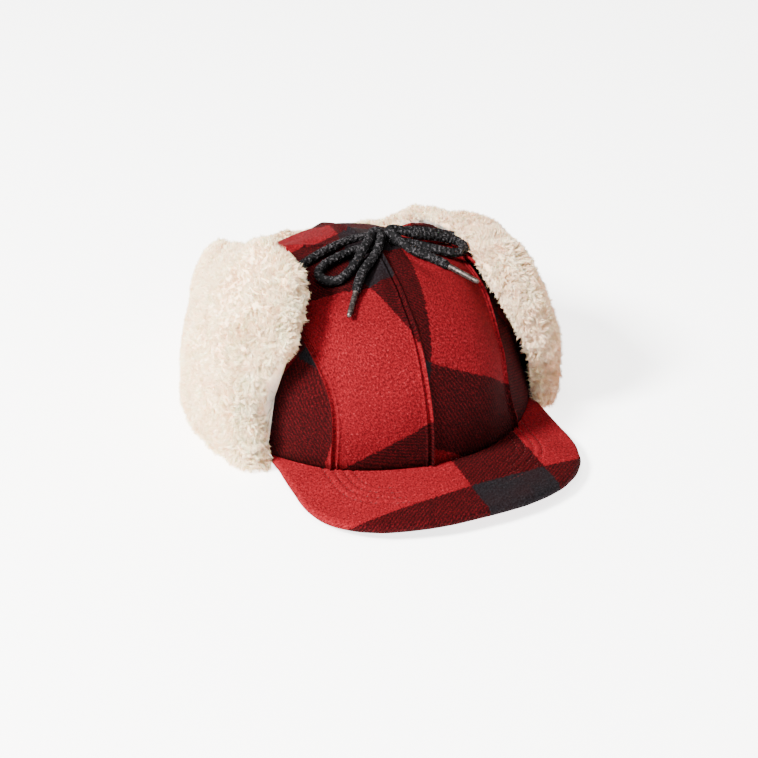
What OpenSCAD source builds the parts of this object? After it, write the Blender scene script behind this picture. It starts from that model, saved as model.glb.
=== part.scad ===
// Billed wool cap with a fold-down shearling ear flap band that ties over the crown.
// +Z is up, the bill points to -Y and +X is the wearer's left side.
// The origin lies on the plane that the cap rests on, under the middle of its box.

/* [Crown] */
// Half width of the crown at its hem, outside
crown_half_w = 92; // [88:0.5:98]
// Half length of the crown at its hem, outside
crown_half_l = 107; // [103:0.5:112]
// Height of the crown from hem to apex
crown_h = 87; // [80:1:100]
// Squareness of the crown's profile, where 2 is an ellipsoid
crown_square = 2.6; // [2.2:0.1:3]
// How far the apex lies in front of the middle of the hem
apex_forward = 8; // [0:1:14]
// How much lower the back of the crown's top is than a symmetric dome
rear_sag = 20; // [0:1:24]
// Height of the hem above the rest plane
hem_z = 8; // [7:0.5:10]
// Rise of the hem in the middle of the front
hem_arch = 5; // [2:0.5:8]
// Thickness of the napped wool cloth
cloth = 2.4; // [2:0.1:2.6]
// Thickness of the crown lining
lining = 0.8; // [0.6:0.1:1]
// Angle of the front side seams at the hem, from the front centre
front_seam = 36; // [34:0.5:42]
// Angle of the rear side seams, from the front centre
rear_seam = 120; // [112:1:126]

/* [Sweatband] */
// Height of the sweatband
band_h = 34; // [28:1:38]
// Thickness of the sweatband
band_t = 1.6; // [1.2:0.1:1.8]

/* [Bill] */
// Length of the bill in front of the crown
bill_l = 51.5; // [46:0.5:60]
// Half width of the bill
bill_half_w = 79.5; // [76:0.5:81]
// Squareness of the bill's outline, where 2 is an ellipse
bill_square = 2.35; // [2.1:0.05:2.6]
// Thickness of the bill board
board_t = 2; // [1.6:0.1:2.4]
// Thickness of the cloth drawn tight over the board
bill_cloth = 1.8; // [1.4:0.1:2.2]
// Width of the cloth turned round the edge of the board
bill_turn = 2.2; // [1.8:0.1:3]

/* [Ear flap band] */
// Distance from the crown to the outside of the wool pile
pile_out = 22; // [18:0.5:24]
// Gap between the crown and the band's cloth
band_gap = 1.6; // [1.4:0.1:2]
// Thickness of the band's cloth
flap_cloth = 2; // [1.6:0.1:2.2]
// Height of the ear lobes as a share of the crown's profile
lobe_top = 0.68; // [0.6:0.01:0.7]
// Height of the band at the back as a share of the crown's profile
back_top = 0.2; // [0.18:0.01:0.28]
// Thinning of the pile where each ear lobe meets the rear piece, as a share of its depth
pile_waist = 0.45; // [0.2:0.05:0.5]
// How far the front edges of the ear lobes stand away from the crown, beyond the gap
lobe_flare = 5; // [0:0.5:6]
// Angle of the front edge of the ear lobes, from the front centre
lobe_front = 57; // [56:1:60]
// Angle of the seam between each ear lobe and the rear piece
lobe_rear = 112; // [106:1:116]
// Angle of the seam between each rear piece and the back piece
rear_back = 152; // [148:1:156]
// Angle behind each ear lobe where its top edge starts to fall
slope_from = 98; // [94:1:104]
// Angle where the top edge has fallen to its height at the back
slope_to = 164; // [158:1:168]

/* [Tie cords] */
// Diameter of the braided tie cord
cord_d = 5; // [4:0.5:5]
// Diameter of the aglet at its widest
aglet_d = 3.2; // [2.6:0.2:3.6]
// Length of each aglet
aglet_l = 19; // [14:1:22]

/* [Hidden] */

wool_red = "firebrick";
wool_dark = "maroon";
lining_grey = "dimgray";
pile_cream = "antiquewhite";
cord_black = "#1c1c1e";

ply_gap = 0.4;
seam_gap = 0.12;
board_gap = 0.05;
last_row_t = 0.95;
apex_t = 0.997;
// The hem rises where the cosine of the angle from the front is above hem_arch_from
hem_arch_from = 0.3;
hem_arch_power = 1.5;
// How far the front side seams turn to the side, between which heights, and how gently
seam_turn = 50;
seam_turn_from = 0.05;
seam_turn_to = 0.85;
seam_turn_power = 1.5;
// Angles from the front between which the crown's sag sets in
sag_from = 80;
sag_to = 140;
// Top front corner of each ear lobe: where it starts, how wide, how deep and how square it is
corner_from = 75;
corner_width = 18;
corner_drop = 0.2;
corner_power = 6;
// How far the foot of the band's cloth lies above the rest plane
cloth_foot = 1;
// Width of the flared part of each lobe in degrees, and how steeply it leaves the hem
flare_width = 21;
flare_rise = 4;
// Where the pile is thinnest, how wide the thin part is, and how thin the top edges are
waist_at = 116;
waist_width = 18;
edge_from = 0.8;
edge_drop = 0.6;
rear_drop = 0.85;
crown_y = (bill_l - pile_out) / 2;
profile_power = 2 / crown_square;
pile_in = band_gap + flap_cloth + ply_gap;
pile_taper = 0.5;
// How far the bill's outline starts behind the front of the crown, and its gap to the band
bill_tuck = 7;
bill_rear_gap = 2;
bill_seam_drop = 0.5;
bill_y = crown_y - crown_half_l + bill_tuck;
bill_reach = bill_l + bill_tuck;
bill_rear_y = crown_y - crown_half_l * cos(lobe_front) - bill_rear_gap;
band_t_top = asin(pow(band_h / crown_h, crown_square / 2)) / 90;
arch_radius = bill_half_w * bill_half_w / (2 * hem_arch);

cord_sides = 10;
aglet_sides = 24;
aglet_gap = 0.05;
aglet_taper = 0.25;
aglet_tip = 0.8;
// Routes of the cords: out of the lobe's tip, along the crown, through the knot as a low
// turn, round the loop, through the knot again as a high turn, and down the loose tail.
tie_right_route = [
    [-51.5, -1.5, 92.4], [-49, -2.5, 93], [-39, 0, 96], [-27, 4, 98], [-15, 8, 98.8],
    [-7, 9.8, 98.9], [-0.5, 9, 98.8], [3.1, 5, 98.8], [1.5, 0, 98.7], [-4, -3, 98.7],
    [-12, -3, 98.8], [-23, -5.5, 98], [-32, -8.5, 96.8], [-37.5, -12.5, 95.4], [-39, -18, 94.7],
    [-36.5, -23, 94.5], [-31, -25.5, 95.2], [-24, -22, 96.8], [-18, -17, 98.5], [-13, -12, 100.6],
    [-8, -7, 103], [-3.5, -2.5, 104.6], [0, 2, 104.8], [2.7, 3, 104.6], [3.1, -0.5, 104.2],
    [0.5, -6, 101.8], [-4, -11.5, 99.2], [-9, -16.5, 97.8], [-15, -22, 96.6],
    [-21, -29.5, 94.8], [-26, -37, 92.4]];
tie_left_route = [
    [52, 2.4, 92.1], [50, 3, 92.5], [41, 5.5, 95], [31, 8, 97], [21, 9.8, 98.4],
    [14, 9.5, 98.8], [9.6, 6.5, 98.8], [9, 1.5, 98.7], [12.5, -2.5, 98.6], [19, -5.5, 98],
    [26, -11, 97], [33, -16.5, 96], [39, -19, 95.4], [44.5, -18.5, 95.2], [48, -14.5, 95.6],
    [48.5, -9, 97], [45, -5, 98.8], [37, -2.5, 101], [28, -1, 102.8], [20, 1.5, 104],
    [14, 3.5, 104.6], [10, 2.8, 104.8], [9, -1, 104.6], [10.5, -5.5, 103.2], [13.5, -11, 100.6],
    [17.5, -16, 98.2], [22.5, -20.5, 96.6], [27, -25.5, 95.2], [31, -30.5, 93.4]];

// ---- crown surface -------------------------------------------------------

// Half-chord and rise of the crown's profile: t is 0 at the hem and 1 at the apex
function chord(t) = pow(max(cos(90 * t), 0), profile_power);
function rise(t) = pow(sin(90 * t), profile_power);
// Height of the hem, which rises a little over the middle of the bill
function hem(a) = hem_z + hem_arch * (cos(a) > hem_arch_from
    ? pow((cos(a) - hem_arch_from) / (1 - hem_arch_from), hem_arch_power) : 0);
// Angle from the front, whichever side a is on
function from_front(a) = abs(a > 180 ? a - 360 : a);
// A smooth step from 0 at low to 1 at high
function share(x, low, high) = min(1, max(0, (x - low) / (high - low)));
function ease(x) = x * x * (3 - 2 * x);
// Sag of the back of the crown, which is nothing at the hem and at the apex
function sag(a, t) = rear_sag * ease(share(from_front(a), sag_from, sag_to)) * chord(t) * pow(rise(t), 2);
// A point of the crown at angle a from the front, off millimetres outside the cloth
function crown_at(a, t, off) = [
    (crown_half_w + off) * chord(t) * sin(a),
    crown_y - (crown_half_l + off) * chord(t) * cos(a) - apex_forward * rise(t),
    hem(a) * (1 - rise(t)) + hem_z * rise(t) + (crown_h + off) * rise(t) - sag(a, t)];

// A closed skin between an inner and an outer grid of points of the same size
module skin(inner, outer) {
    rows = len(inner);
    cols = len(inner[0]);
    count = rows * cols;
    points = concat([for (row = inner) each row], [for (row = outer) each row]);
    quad_faces = [for (i = [0 : rows - 2], j = [0 : cols - 2])
        let (k = i * cols + j) each [
            [k, k + 1, k + cols + 1], [k, k + cols + 1, k + cols],
            [count + k, count + k + cols + 1, count + k + 1],
            [count + k, count + k + cols, count + k + cols + 1]]];
    rim = concat(
        [for (j = [0 : cols - 2]) [j, j + 1]],
        [for (i = [0 : rows - 2]) [(i + 1) * cols - 1, (i + 2) * cols - 1]],
        [for (j = [cols - 1 : -1 : 1]) [(rows - 1) * cols + j, (rows - 1) * cols + j - 1]],
        [for (i = [rows - 1 : -1 : 1]) [i * cols, (i - 1) * cols]]);
    rim_faces = [for (e = rim) each [[e[0], count + e[0], count + e[1]], [e[0], count + e[1], e[1]]]];
    polyhedron(points, concat(quad_faces, rim_faces), convexity = 4);
}

// ---- crown gores ---------------------------------------------------------

gore_rows = 10;
gore_cols = 8;

// The front side seam stands nearly upright and then turns out to the side over the top
function side_seam(t) = front_seam
    + seam_turn * ease(pow(share(t, seam_turn_from, seam_turn_to), seam_turn_power));
// Angle of seam number i at height t: 0 front centre, 1 front side, 2 rear side, 3 back centre
function seam(i, t) = [0, side_seam(t), rear_seam, 180][i];

// Gore between seams i and i + 1, side is 1 for the wearer's left and -1 for the right
function gore_grid(i, side, off) = [for (r = [0 : gore_rows])
    let (t = r == gore_rows ? apex_t : last_row_t * r / (gore_rows - 1)) [for (c = [0 : gore_cols])
        let (
            low = seam(i, t) + seam_gap,
            high = seam(i + 1, t) - seam_gap,
            a = low + (high - low) * (side > 0 ? c : gore_cols - c) / gore_cols
        ) crown_at(side * a, t, off)]];

module gore(i, side, outside, thickness) {
    skin(gore_grid(i, side, outside - thickness), gore_grid(i, side, outside));
}

module cloth_gore(i, side) color(i == 1 ? wool_dark : wool_red) gore(i, side, 0, cloth);
module lining_gore(i, side) color(lining_grey) gore(i, side, -cloth - ply_gap, lining);

// ---- sweatband -----------------------------------------------------------

band_rows = 3;
band_cols = 40;

band_joint = 0.2;
band_clear = 1.2;

// A strip that follows the lining round the head and meets itself at the back
function band_grid_at(off) = [for (r = [0 : band_rows]) [for (c = [0 : band_cols])
    crown_at(180 + band_joint + (360 - 2 * band_joint) * c / band_cols, band_t_top * r / band_rows, off)]];

module sweatband() {
    outside = -cloth - lining - ply_gap - band_clear;
    color("black") skin(band_grid_at(outside - band_t), band_grid_at(outside));
}

// ---- bill ----------------------------------------------------------------

bill_steps = 40;
ring_steps = 72;
// The outline is cut from a slab this deep, and bent over a cylinder this wide and smooth
slab_low = -20;
slab_h = 60;
bend_w = 400;
bend_sides = 720;
function ring(off) = [for (k = [0 : ring_steps - 1])
    let (p = crown_at(360 * k / ring_steps, 0, off)) [p[0], p[1]]];
function bill_point(u, inset) = [
    (bill_half_w - inset) * sign(cos(u)) * pow(abs(cos(u)), 2 / bill_square),
    bill_y - (bill_reach - inset) * pow(max(sin(u), 0), 2 / bill_square)];

// Outline of the bill in plan, open towards the crown, inset from its edge
module bill_outline(inset) {
    difference() {
        polygon(concat(
            [for (k = [0 : bill_steps]) bill_point(180 * k / bill_steps, inset)],
            [[-bill_half_w + inset, bill_rear_y - inset], [bill_half_w - inset, bill_rear_y - inset]]));
        polygon(ring(ply_gap));
    }
}

// One ply of the bill, bent over a large cylinder whose crest is at height top
module bill_ply(top, thickness, inset) {
    intersection() {
        translate([0, 0, slab_low])
            linear_extrude(slab_h)
                bill_outline(inset);
        translate([0, 0, top - arch_radius])
            rotate([90, 0, 0])
                difference() {
                    cylinder(h = bend_w, r = arch_radius, center = true, $fn = bend_sides);
                    cylinder(h = bend_w + 1, r = arch_radius - thickness, center = true, $fn = bend_sides);
                }
    }
}

bill_top = hem_z + hem_arch - bill_seam_drop;
board_top = bill_top - bill_cloth - board_gap;
module bill_top_cover() color(wool_red) bill_ply(bill_top, bill_cloth, 0);
module bill_board() color("dimgray") bill_ply(board_top, board_t, bill_turn);
module bill_under_cover() color(wool_dark) bill_ply(board_top - board_t - board_gap, bill_cloth, ply_gap);

// ---- ear flap band -------------------------------------------------------

flap_rows = 9;
flap_cols = 8;

// Share of the way down the slope behind the ear lobe, 0 on the lobe and 1 at the back
function behind(b) = share(b, slope_from, slope_to);
// Height of the band's top edge as a share of the crown's profile, b from 0 to 180
function band_top(b) = b < corner_from
    ? lobe_top - corner_drop * pow((corner_from - b) / corner_width, corner_power)
    : back_top + (lobe_top - back_top) * (1 + cos(180 * behind(b))) / 2;

// How far the lobe stands out at angle b and height v, over and above its gap
function flare(b, v) = lobe_flare * min(1, v * flare_rise)
    * (1 - ease(share(b, lobe_front, lobe_front + flare_width)));

// A point of the band: v is 0 on the rest plane and 1 at the top edge
function band_at(a, v, gap, low) =
    let (
        b = from_front(a),
        t = band_top(b) * v,
        off = gap + flare(b, v),
        p = crown_at(a, t, off)
    ) [p[0], p[1], (crown_h + off) * rise(t) + low + (hem_z - low) * min(1, v * flap_rows)];

// Share of the pile's depth at height v: full on the lobes, and sloping inwards at the back
function edge_share(v) = v > edge_from ? 1 - edge_drop * pow((v - edge_from) / (1 - edge_from), 2) : 1;
function pile_share(b, v) =
    let (waist = 1 - pile_waist * exp(-pow((b - waist_at) / waist_width, 2)), rear = behind(b))
    waist * ((1 - rear) * edge_share(v) + rear * sqrt(1 - rear_drop * v * v));

function band_grid(a0, a1, off, low) = [for (r = [0 : flap_rows])
    [for (c = [0 : flap_cols])
        band_at(a0 + seam_gap + (a1 - a0 - 2 * seam_gap) * c / flap_cols, r / flap_rows, off, low)]];

// The pile's outside narrows outwards, so that folded pieces clear each other
function pile_grid(a0, a1) = [for (r = [0 : flap_rows])
    let (v = r / flap_rows)
    [for (c = [0 : flap_cols])
        let (
            w = c / flap_cols,
            depth = (pile_out - pile_in) * pile_share(from_front(a0 + (a1 - a0) * w), v),
            inset = seam_gap + pile_taper * depth
        ) band_at(a0 + inset + (a1 - a0 - 2 * inset) * w, v, pile_in + depth, 0)]];

module flap_cloth_piece(a0, a1) {
    color(wool_red)
        skin(band_grid(a0, a1, band_gap, cloth_foot),
            band_grid(a0, a1, band_gap + flap_cloth, cloth_foot));
}
module shearling_piece(a0, a1) {
    color(pile_cream)
        skin(band_grid(a0, a1, pile_in, 0), pile_grid(a0, a1));
}

// ---- tie cords -----------------------------------------------------------

function unit(v) = v / norm(v);
function heading(p, i) = unit(p[min(i + 1, len(p) - 1)] - p[max(i - 1, 0)]);

// A round cord with one ring of cord_sides corners at each point of its route
module cord(p) {
    rings = len(p);
    points = [for (i = [0 : rings - 1])
        let (ahead = heading(p, i), across = unit(cross(ahead, [0, 0, 1])), up = cross(across, ahead))
        for (k = [0 : cord_sides - 1])
            p[i] + cord_d / 2 * (cos(360 * k / cord_sides) * across + sin(360 * k / cord_sides) * up)];
    sides = [for (i = [0 : rings - 2], k = [0 : cord_sides - 1])
        let (a = i * cord_sides + k, b = i * cord_sides + (k + 1) % cord_sides)
        each [[a, b, b + cord_sides], [a, b + cord_sides, a + cord_sides]]];
    first = [for (k = [cord_sides - 1 : -1 : 0]) k];
    last = [for (k = [0 : cord_sides - 1]) (rings - 1) * cord_sides + k];
    polyhedron(points, concat(sides, [first, last]), convexity = 10);
}

// A tapered metal tip that continues a cord past its last point
module aglet(p) {
    from = p[len(p) - 1];
    ahead = heading(p, len(p) - 1);
    translate(from + aglet_gap * ahead)
        rotate([0, acos(ahead[2]), atan2(ahead[1], ahead[0])])
            rotate_extrude($fn = aglet_sides)
                polygon([[0, 0], [aglet_d / 2, 0], [aglet_d / 2 - aglet_taper, aglet_l - aglet_tip],
                    [aglet_d / 2 - aglet_tip, aglet_l], [0, aglet_l]]);
}

module tie_left() color(cord_black) cord(tie_left_route);
module tie_right() color(cord_black) cord(tie_right_route);
module aglet_left() color("slategray") aglet(tie_left_route);
module aglet_right() color("slategray") aglet(tie_right_route);

cloth_gore(0, 1);  // panel_front_left
cloth_gore(0, -1);  // panel_front_right
cloth_gore(1, 1);  // panel_side_left
cloth_gore(1, -1);  // panel_side_right
cloth_gore(2, 1);  // panel_back_left
cloth_gore(2, -1);  // panel_back_right
lining_gore(0, 1);  // lining_front_left
lining_gore(0, -1);  // lining_front_right
lining_gore(1, 1);  // lining_side_left
lining_gore(1, -1);  // lining_side_right
lining_gore(2, 1);  // lining_back_left
lining_gore(2, -1);  // lining_back_right
sweatband();
bill_top_cover();
bill_board();
bill_under_cover();
flap_cloth_piece(lobe_front, lobe_rear);  // flap_cloth_left
flap_cloth_piece(lobe_rear, rear_back);  // flap_cloth_rear_left
flap_cloth_piece(rear_back, 360 - rear_back);  // flap_cloth_back
flap_cloth_piece(360 - rear_back, 360 - lobe_rear);  // flap_cloth_rear_right
flap_cloth_piece(360 - lobe_rear, 360 - lobe_front);  // flap_cloth_right
shearling_piece(lobe_front, lobe_rear);  // shearling_left
shearling_piece(lobe_rear, rear_back);  // shearling_rear_left
shearling_piece(rear_back, 360 - rear_back);  // shearling_back
shearling_piece(360 - rear_back, 360 - lobe_rear);  // shearling_rear_right
shearling_piece(360 - lobe_rear, 360 - lobe_front);  // shearling_right
tie_left();
tie_right();
aglet_left();
aglet_right();
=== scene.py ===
"""Billed plaid wool cap with a fold-down shearling ear flap band, tied over the crown."""
import math

import bmesh
import bpy
import numpy as np
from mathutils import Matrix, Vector


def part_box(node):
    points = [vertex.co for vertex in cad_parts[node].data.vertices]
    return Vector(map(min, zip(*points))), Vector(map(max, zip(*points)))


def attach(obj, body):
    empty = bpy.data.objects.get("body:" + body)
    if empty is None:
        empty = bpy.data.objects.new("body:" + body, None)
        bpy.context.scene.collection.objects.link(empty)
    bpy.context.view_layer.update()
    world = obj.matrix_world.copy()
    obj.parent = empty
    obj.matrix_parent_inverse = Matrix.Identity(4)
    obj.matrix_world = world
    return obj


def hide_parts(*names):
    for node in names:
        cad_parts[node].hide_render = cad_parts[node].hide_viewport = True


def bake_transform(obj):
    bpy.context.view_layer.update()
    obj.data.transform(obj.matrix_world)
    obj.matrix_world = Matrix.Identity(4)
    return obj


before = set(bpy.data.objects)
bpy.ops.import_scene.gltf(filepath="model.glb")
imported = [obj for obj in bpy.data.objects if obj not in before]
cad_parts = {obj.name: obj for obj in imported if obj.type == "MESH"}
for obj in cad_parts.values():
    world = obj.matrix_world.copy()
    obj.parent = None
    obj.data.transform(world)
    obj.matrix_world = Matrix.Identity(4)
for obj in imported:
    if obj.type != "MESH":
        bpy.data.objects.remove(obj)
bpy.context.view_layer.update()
MM = 0.001
SIDES = {"left": 1, "right": -1}


# ---- sizes in millimetres, read from the frame or the same as in the CAD part ----

def box_mm(node):
    """The low and high corners of a CAD piece's box."""
    low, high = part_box(node)
    return np.array(low) / MM, np.array(high) / MM


_, side_high = box_mm("panel_side_left")
back_low, back_high = box_mm("panel_back_left")
front_low, _ = box_mm("panel_front_left")
bill_low, bill_high = box_mm("bill_top_cover")
_, pile_high = box_mm("shearling_back")

# The crown: half its width and length at the hem, its middle, and its height above the hem
HALF_W = side_high[0]
HALF_L = (back_high[1] - front_low[1]) / 2
CROWN_Y = (back_high[1] + front_low[1]) / 2
CROWN_MIDDLE = np.array([0, CROWN_Y, 0])
HEM_Z = back_low[2]
CROWN_H = back_high[2] - HEM_Z
# How far the hem rises at the front, the apex lies forwards and the crown's back sags
HEM_ARCH = 5.0
APEX_FORWARD = 8.0
REAR_SAG = 20.0
PROFILE_POWER = 2 / 2.6
# Soft wear: how far the tie draws in the wearer's left side
SQUEEZE = 9.5
# Seams, as angles from the front in degrees
FRONT_SEAM = 36.0
SEAM_TURN = 50.0
CENTRE_PULL = 4.4
REAR_SEAM = 120.0
# Ends of the ear flap band's lengths, and the slope behind a lobe, as angles from the front
LOBE_FRONT = 57.0
LOBE_REAR = 112.0
REAR_BACK = 152.0
SLOPE_FROM = 98.0
SLOPE_TO = 164.0
# Top of the band, as shares of the crown's profile, and how far a lobe's front end stands off
LOBE_TOP = 0.68
BACK_TOP = 0.2
LOBE_FLARE = 5.0
PILE_OUT = pile_high[1] - CROWN_Y - HALF_L
# The bill: its outline's power, half its width, its front, where it starts and its top
BILL_SQUARE = 2.35
BILL_HALF_W = bill_high[0]
BILL_FRONT = bill_low[1]
BILL_Y = CROWN_Y - HALF_L + 7
BILL_TOP = HEM_Z + HEM_ARCH - 0.5
CORD_D = 5.0


# ---- the crown's surface, as the CAD part has it ----

def chord(t):
    """Share of the crown's width that is left at t, which is 0 at the hem and 1 at the apex."""
    return np.maximum(np.cos(np.pi / 2 * t), 0) ** PROFILE_POWER


def rise(t):
    """Share of the crown's height that is reached at t."""
    return np.sin(np.pi / 2 * t) ** PROFILE_POWER


def hem(a):
    """Height of the crown's hem at angle a from the front."""
    front = np.clip((np.cos(np.radians(a)) - 0.3) / 0.7, 0, 1)
    return HEM_Z + HEM_ARCH * front**1.5


def dome_at(a, t, off):
    """Points off millimetres outside the CAD's crown, at angle a from the front and height t."""
    a, t, off = np.broadcast_arrays(np.asarray(a, float), t, off)
    rad = np.radians(a)
    sag = REAR_SAG * smooth(from_front(a), 80, 140) * chord(t) * rise(t) ** 2
    return np.stack([
        (HALF_W + off) * chord(t) * np.sin(rad),
        CROWN_Y - (HALF_L + off) * chord(t) * np.cos(rad) - APEX_FORWARD * rise(t),
        hem(a) * (1 - rise(t)) + HEM_Z * rise(t) + (CROWN_H + off) * rise(t) - sag], -1)


def from_front(a):
    """Angle from the front on either side, from 0 to 180 degrees."""
    return np.abs((np.asarray(a, float) + 180) % 360 - 180)


def smooth(x, low, high):
    """0 below low and 1 above high, smooth in between."""
    s = np.clip((x - low) / (high - low), 0, 1)
    return s * s * (3 - 2 * s)


def at_front(a, start, end):
    """1 at the lobes' front ends, falling to 0 from start to end degrees behind them."""
    return 1 - smooth(from_front(a), LOBE_FRONT + start, LOBE_FRONT + end)


def squeezed(p):
    """Soft wear: the tied cap is drawn in along the wearer's left side, above the hem."""
    up = p[..., 2]
    share = smooth(p[..., 0], 25, 62) * (0.25 + 0.75 * smooth(up, 5, 42))
    share = share * (1 - 0.5 * smooth(up, 78, 98)) * (1 - smooth(p[..., 1], 60, 110))
    p[..., 0] -= SQUEEZE * share
    return p


def crown_at(a, t, off):
    """Points off millimetres outside the crown, drawn in as the tied cap is."""
    return squeezed(dome_at(a, t, off))


def behind(a):
    """Share of the way down the slope behind an ear lobe: 0 on the lobe, 1 at the back."""
    return np.clip((from_front(a) - SLOPE_FROM) / (SLOPE_TO - SLOPE_FROM), 0, 1)


def band_top(a):
    """Height of the ear flap band's top edge, as a share of the crown's profile."""
    front = LOBE_TOP - 0.2 * (np.maximum(75 - from_front(a), 0) / 18) ** 6
    rear = BACK_TOP + (LOBE_TOP - BACK_TOP) * (0.5 + 0.5 * np.cos(np.pi * behind(a)))
    return np.where(from_front(a) < SLOPE_FROM, front, rear)


def band_at(a, v, gap, low, forward=0.0):
    """Points of the ear flap band: v is 0 on the rest plane and 1 at the top edge."""
    a, v, gap = np.broadcast_arrays(np.asarray(a, float), v, gap)
    off = gap + LOBE_FLARE * np.clip(v * 4, 0, 1) * at_front(a, 0, 21)
    t = band_top(a) * np.clip(v, 0, 1)
    p = dome_at(a - forward, t, off)
    p[..., 2] = (CROWN_H + off) * rise(t) + low + (HEM_Z - low) * np.clip(v * 9, 0, 1)
    return squeezed(p)


# ---- small tools ----

def bell(x, middle, width):
    """1 at the middle, falling to 0 on both sides of it."""
    return np.exp(-(((x - middle) / width) ** 2))


def unit(v):
    """Vectors along the last axis, each made one long."""
    return v / np.maximum(np.linalg.norm(v, axis=-1, keepdims=True), 1e-9)


def raised(plan, z):
    """Points of a plan with their heights."""
    return np.concatenate([plan, z[..., None]], -1)


def full_turn(count):
    return np.linspace(0, 2 * np.pi, count, endpoint=False)


def round_about(turn, across, up):
    """Unit circles about the points of a path, from its two cross directions."""
    return np.cos(turn)[None, :, None] * across[:, None] + np.sin(turn)[None, :, None] * up[:, None]


def arc_lengths(points, axis):
    """Length run along one axis of a grid of points, up to each of them."""
    step = np.linalg.norm(np.diff(points, axis=axis), axis=-1)
    total = np.cumsum(step, axis=axis)
    start = np.zeros_like(np.take(total, [0], axis=axis))
    return np.concatenate([start, total], axis=axis)


def resampled(at, run, values):
    """Values known at the lengths in run, read off at other lengths."""
    return np.stack([np.interp(at, run, column) for column in values.T], -1)


class Waves:
    """Smooth, repeatable noise of about -1 to 1: a sum of waves of one typical length."""

    def __init__(self, seed, length, count=20):
        rng = np.random.default_rng(seed)
        direction = unit(rng.normal(size=(count, 3)))
        self.k = direction * (2 * np.pi / length) * rng.uniform(0.6, 1.5, (count, 1))
        self.phase = rng.uniform(0, 2 * np.pi, count)
        self.gain = math.sqrt(2 / count)

    def __call__(self, p):
        return np.sin(p @ self.k.T + self.phase).sum(-1) * self.gain / 1.4


def grid_faces(rows, cols, wrap_rows=False, wrap_cols=False, flip=False):
    """The quads of a grid of points, counted row by row."""
    r = np.arange(rows if wrap_rows else rows - 1)[:, None]
    c = np.arange(cols if wrap_cols else cols - 1)[None, :]
    r2, c2 = (r + 1) % rows, (c + 1) % cols
    quads = np.stack([r * cols + c, r * cols + c2, r2 * cols + c2, r2 * cols + c], -1)
    quads = quads.reshape(-1, 4)
    return quads[:, ::-1] if flip else quads


def new_mesh(name, points, faces, material, uv=None):
    """A mesh object from points in millimetres and equal-sided faces, with cloth UVs if given."""
    mesh = bpy.data.meshes.new(name)
    points = np.asarray(points, np.float32).reshape(-1, 3) * MM
    faces = np.asarray(faces, np.int32)
    sides = faces.shape[1]
    mesh.vertices.add(len(points))
    mesh.vertices.foreach_set("co", points.ravel())
    mesh.loops.add(faces.size)
    mesh.loops.foreach_set("vertex_index", faces.ravel())
    mesh.polygons.add(len(faces))
    mesh.polygons.foreach_set("loop_start", np.arange(0, faces.size, sides, dtype=np.int32))
    mesh.polygons.foreach_set("use_smooth", np.full(len(faces), True))
    mesh.update(calc_edges=True)
    if uv is not None:
        layer = mesh.uv_layers.new(name="cloth")
        corners = np.asarray(uv, np.float32).reshape(-1, 2)[faces.ravel()]
        layer.data.foreach_set("uv", corners.ravel())
    mesh.validate()
    obj = bpy.data.objects.new(name, mesh)
    bpy.context.scene.collection.objects.link(obj)
    mesh.materials.append(material)
    return obj


def surface_normals(p):
    """Normals of a grid of points, by differences along its rows and columns."""
    return unit(np.cross(np.gradient(p, axis=1), np.gradient(p, axis=0)))


def normals_away(p, middle):
    """Normals of a grid of points, all turned so that they point away from the middle."""
    n = surface_normals(p)
    return n * np.sign((n * (p - middle)).sum(-1).mean())


def sheet_shell(name, outer, inner, material, uv, flip=False):
    """A closed sheet between two grids of points of one size."""
    rows, cols = outer.shape[:2]
    count = rows * cols
    rim = np.concatenate([
        np.arange(cols - 1), (np.arange(rows - 1) + 1) * cols - 1,
        (rows - 1) * cols + np.arange(cols - 1, 0, -1), np.arange(rows - 1, 0, -1) * cols])
    nxt = np.roll(rim, -1)
    rim_faces = np.stack([rim, rim + count, nxt + count, nxt], -1)
    faces = np.concatenate([
        grid_faces(rows, cols), grid_faces(rows, cols, flip=True) + count, rim_faces])
    if flip:
        faces = faces[:, ::-1]
    points = np.concatenate([outer.reshape(-1, 3), inner.reshape(-1, 3)])
    uvs = np.concatenate([uv.reshape(-1, 2)] * 2)
    return new_mesh(name, points, faces, material, uv=uvs)


def settle(obj, body, node=None):
    """Says what a piece rides on, and hides the CAD piece that it replaces, if any."""
    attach(obj, body)
    if node:
        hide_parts(node)


# ---- camera ----

CAMERA_AZIMUTH = 22.5
CAMERA_ELEVATION = 30.8
CAMERA_DISTANCE = 1.10
FOCAL_IN_WIDTHS = 2.4934
SENSOR = 36
# How far the camera aims to the right of and above the crown's middle, in metres
AIM_RIGHT, AIM_UP = 0.0079, 0.0038


def make_camera():
    a, e = math.radians(CAMERA_AZIMUTH), math.radians(CAMERA_ELEVATION)
    back = Vector((-math.sin(a) * math.cos(e), -math.cos(a) * math.cos(e), math.sin(e)))
    right = Vector((math.cos(a), -math.sin(a), 0))
    up = back.cross(right)
    aim = Vector((0, CROWN_Y * MM, 0)) + AIM_RIGHT * right + AIM_UP * up
    data = bpy.data.cameras.new("camera")
    data.sensor_width = SENSOR
    data.lens = SENSOR * FOCAL_IN_WIDTHS
    data.clip_start = 0.05
    data.clip_end = 20
    camera = bpy.data.objects.new("camera", data)
    camera.location = aim + CAMERA_DISTANCE * back
    camera.rotation_euler = back.to_track_quat("Z", "Y").to_euler()
    bpy.context.scene.collection.objects.link(camera)
    bpy.context.scene.camera = camera


make_camera()


# ---- materials ----

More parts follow.
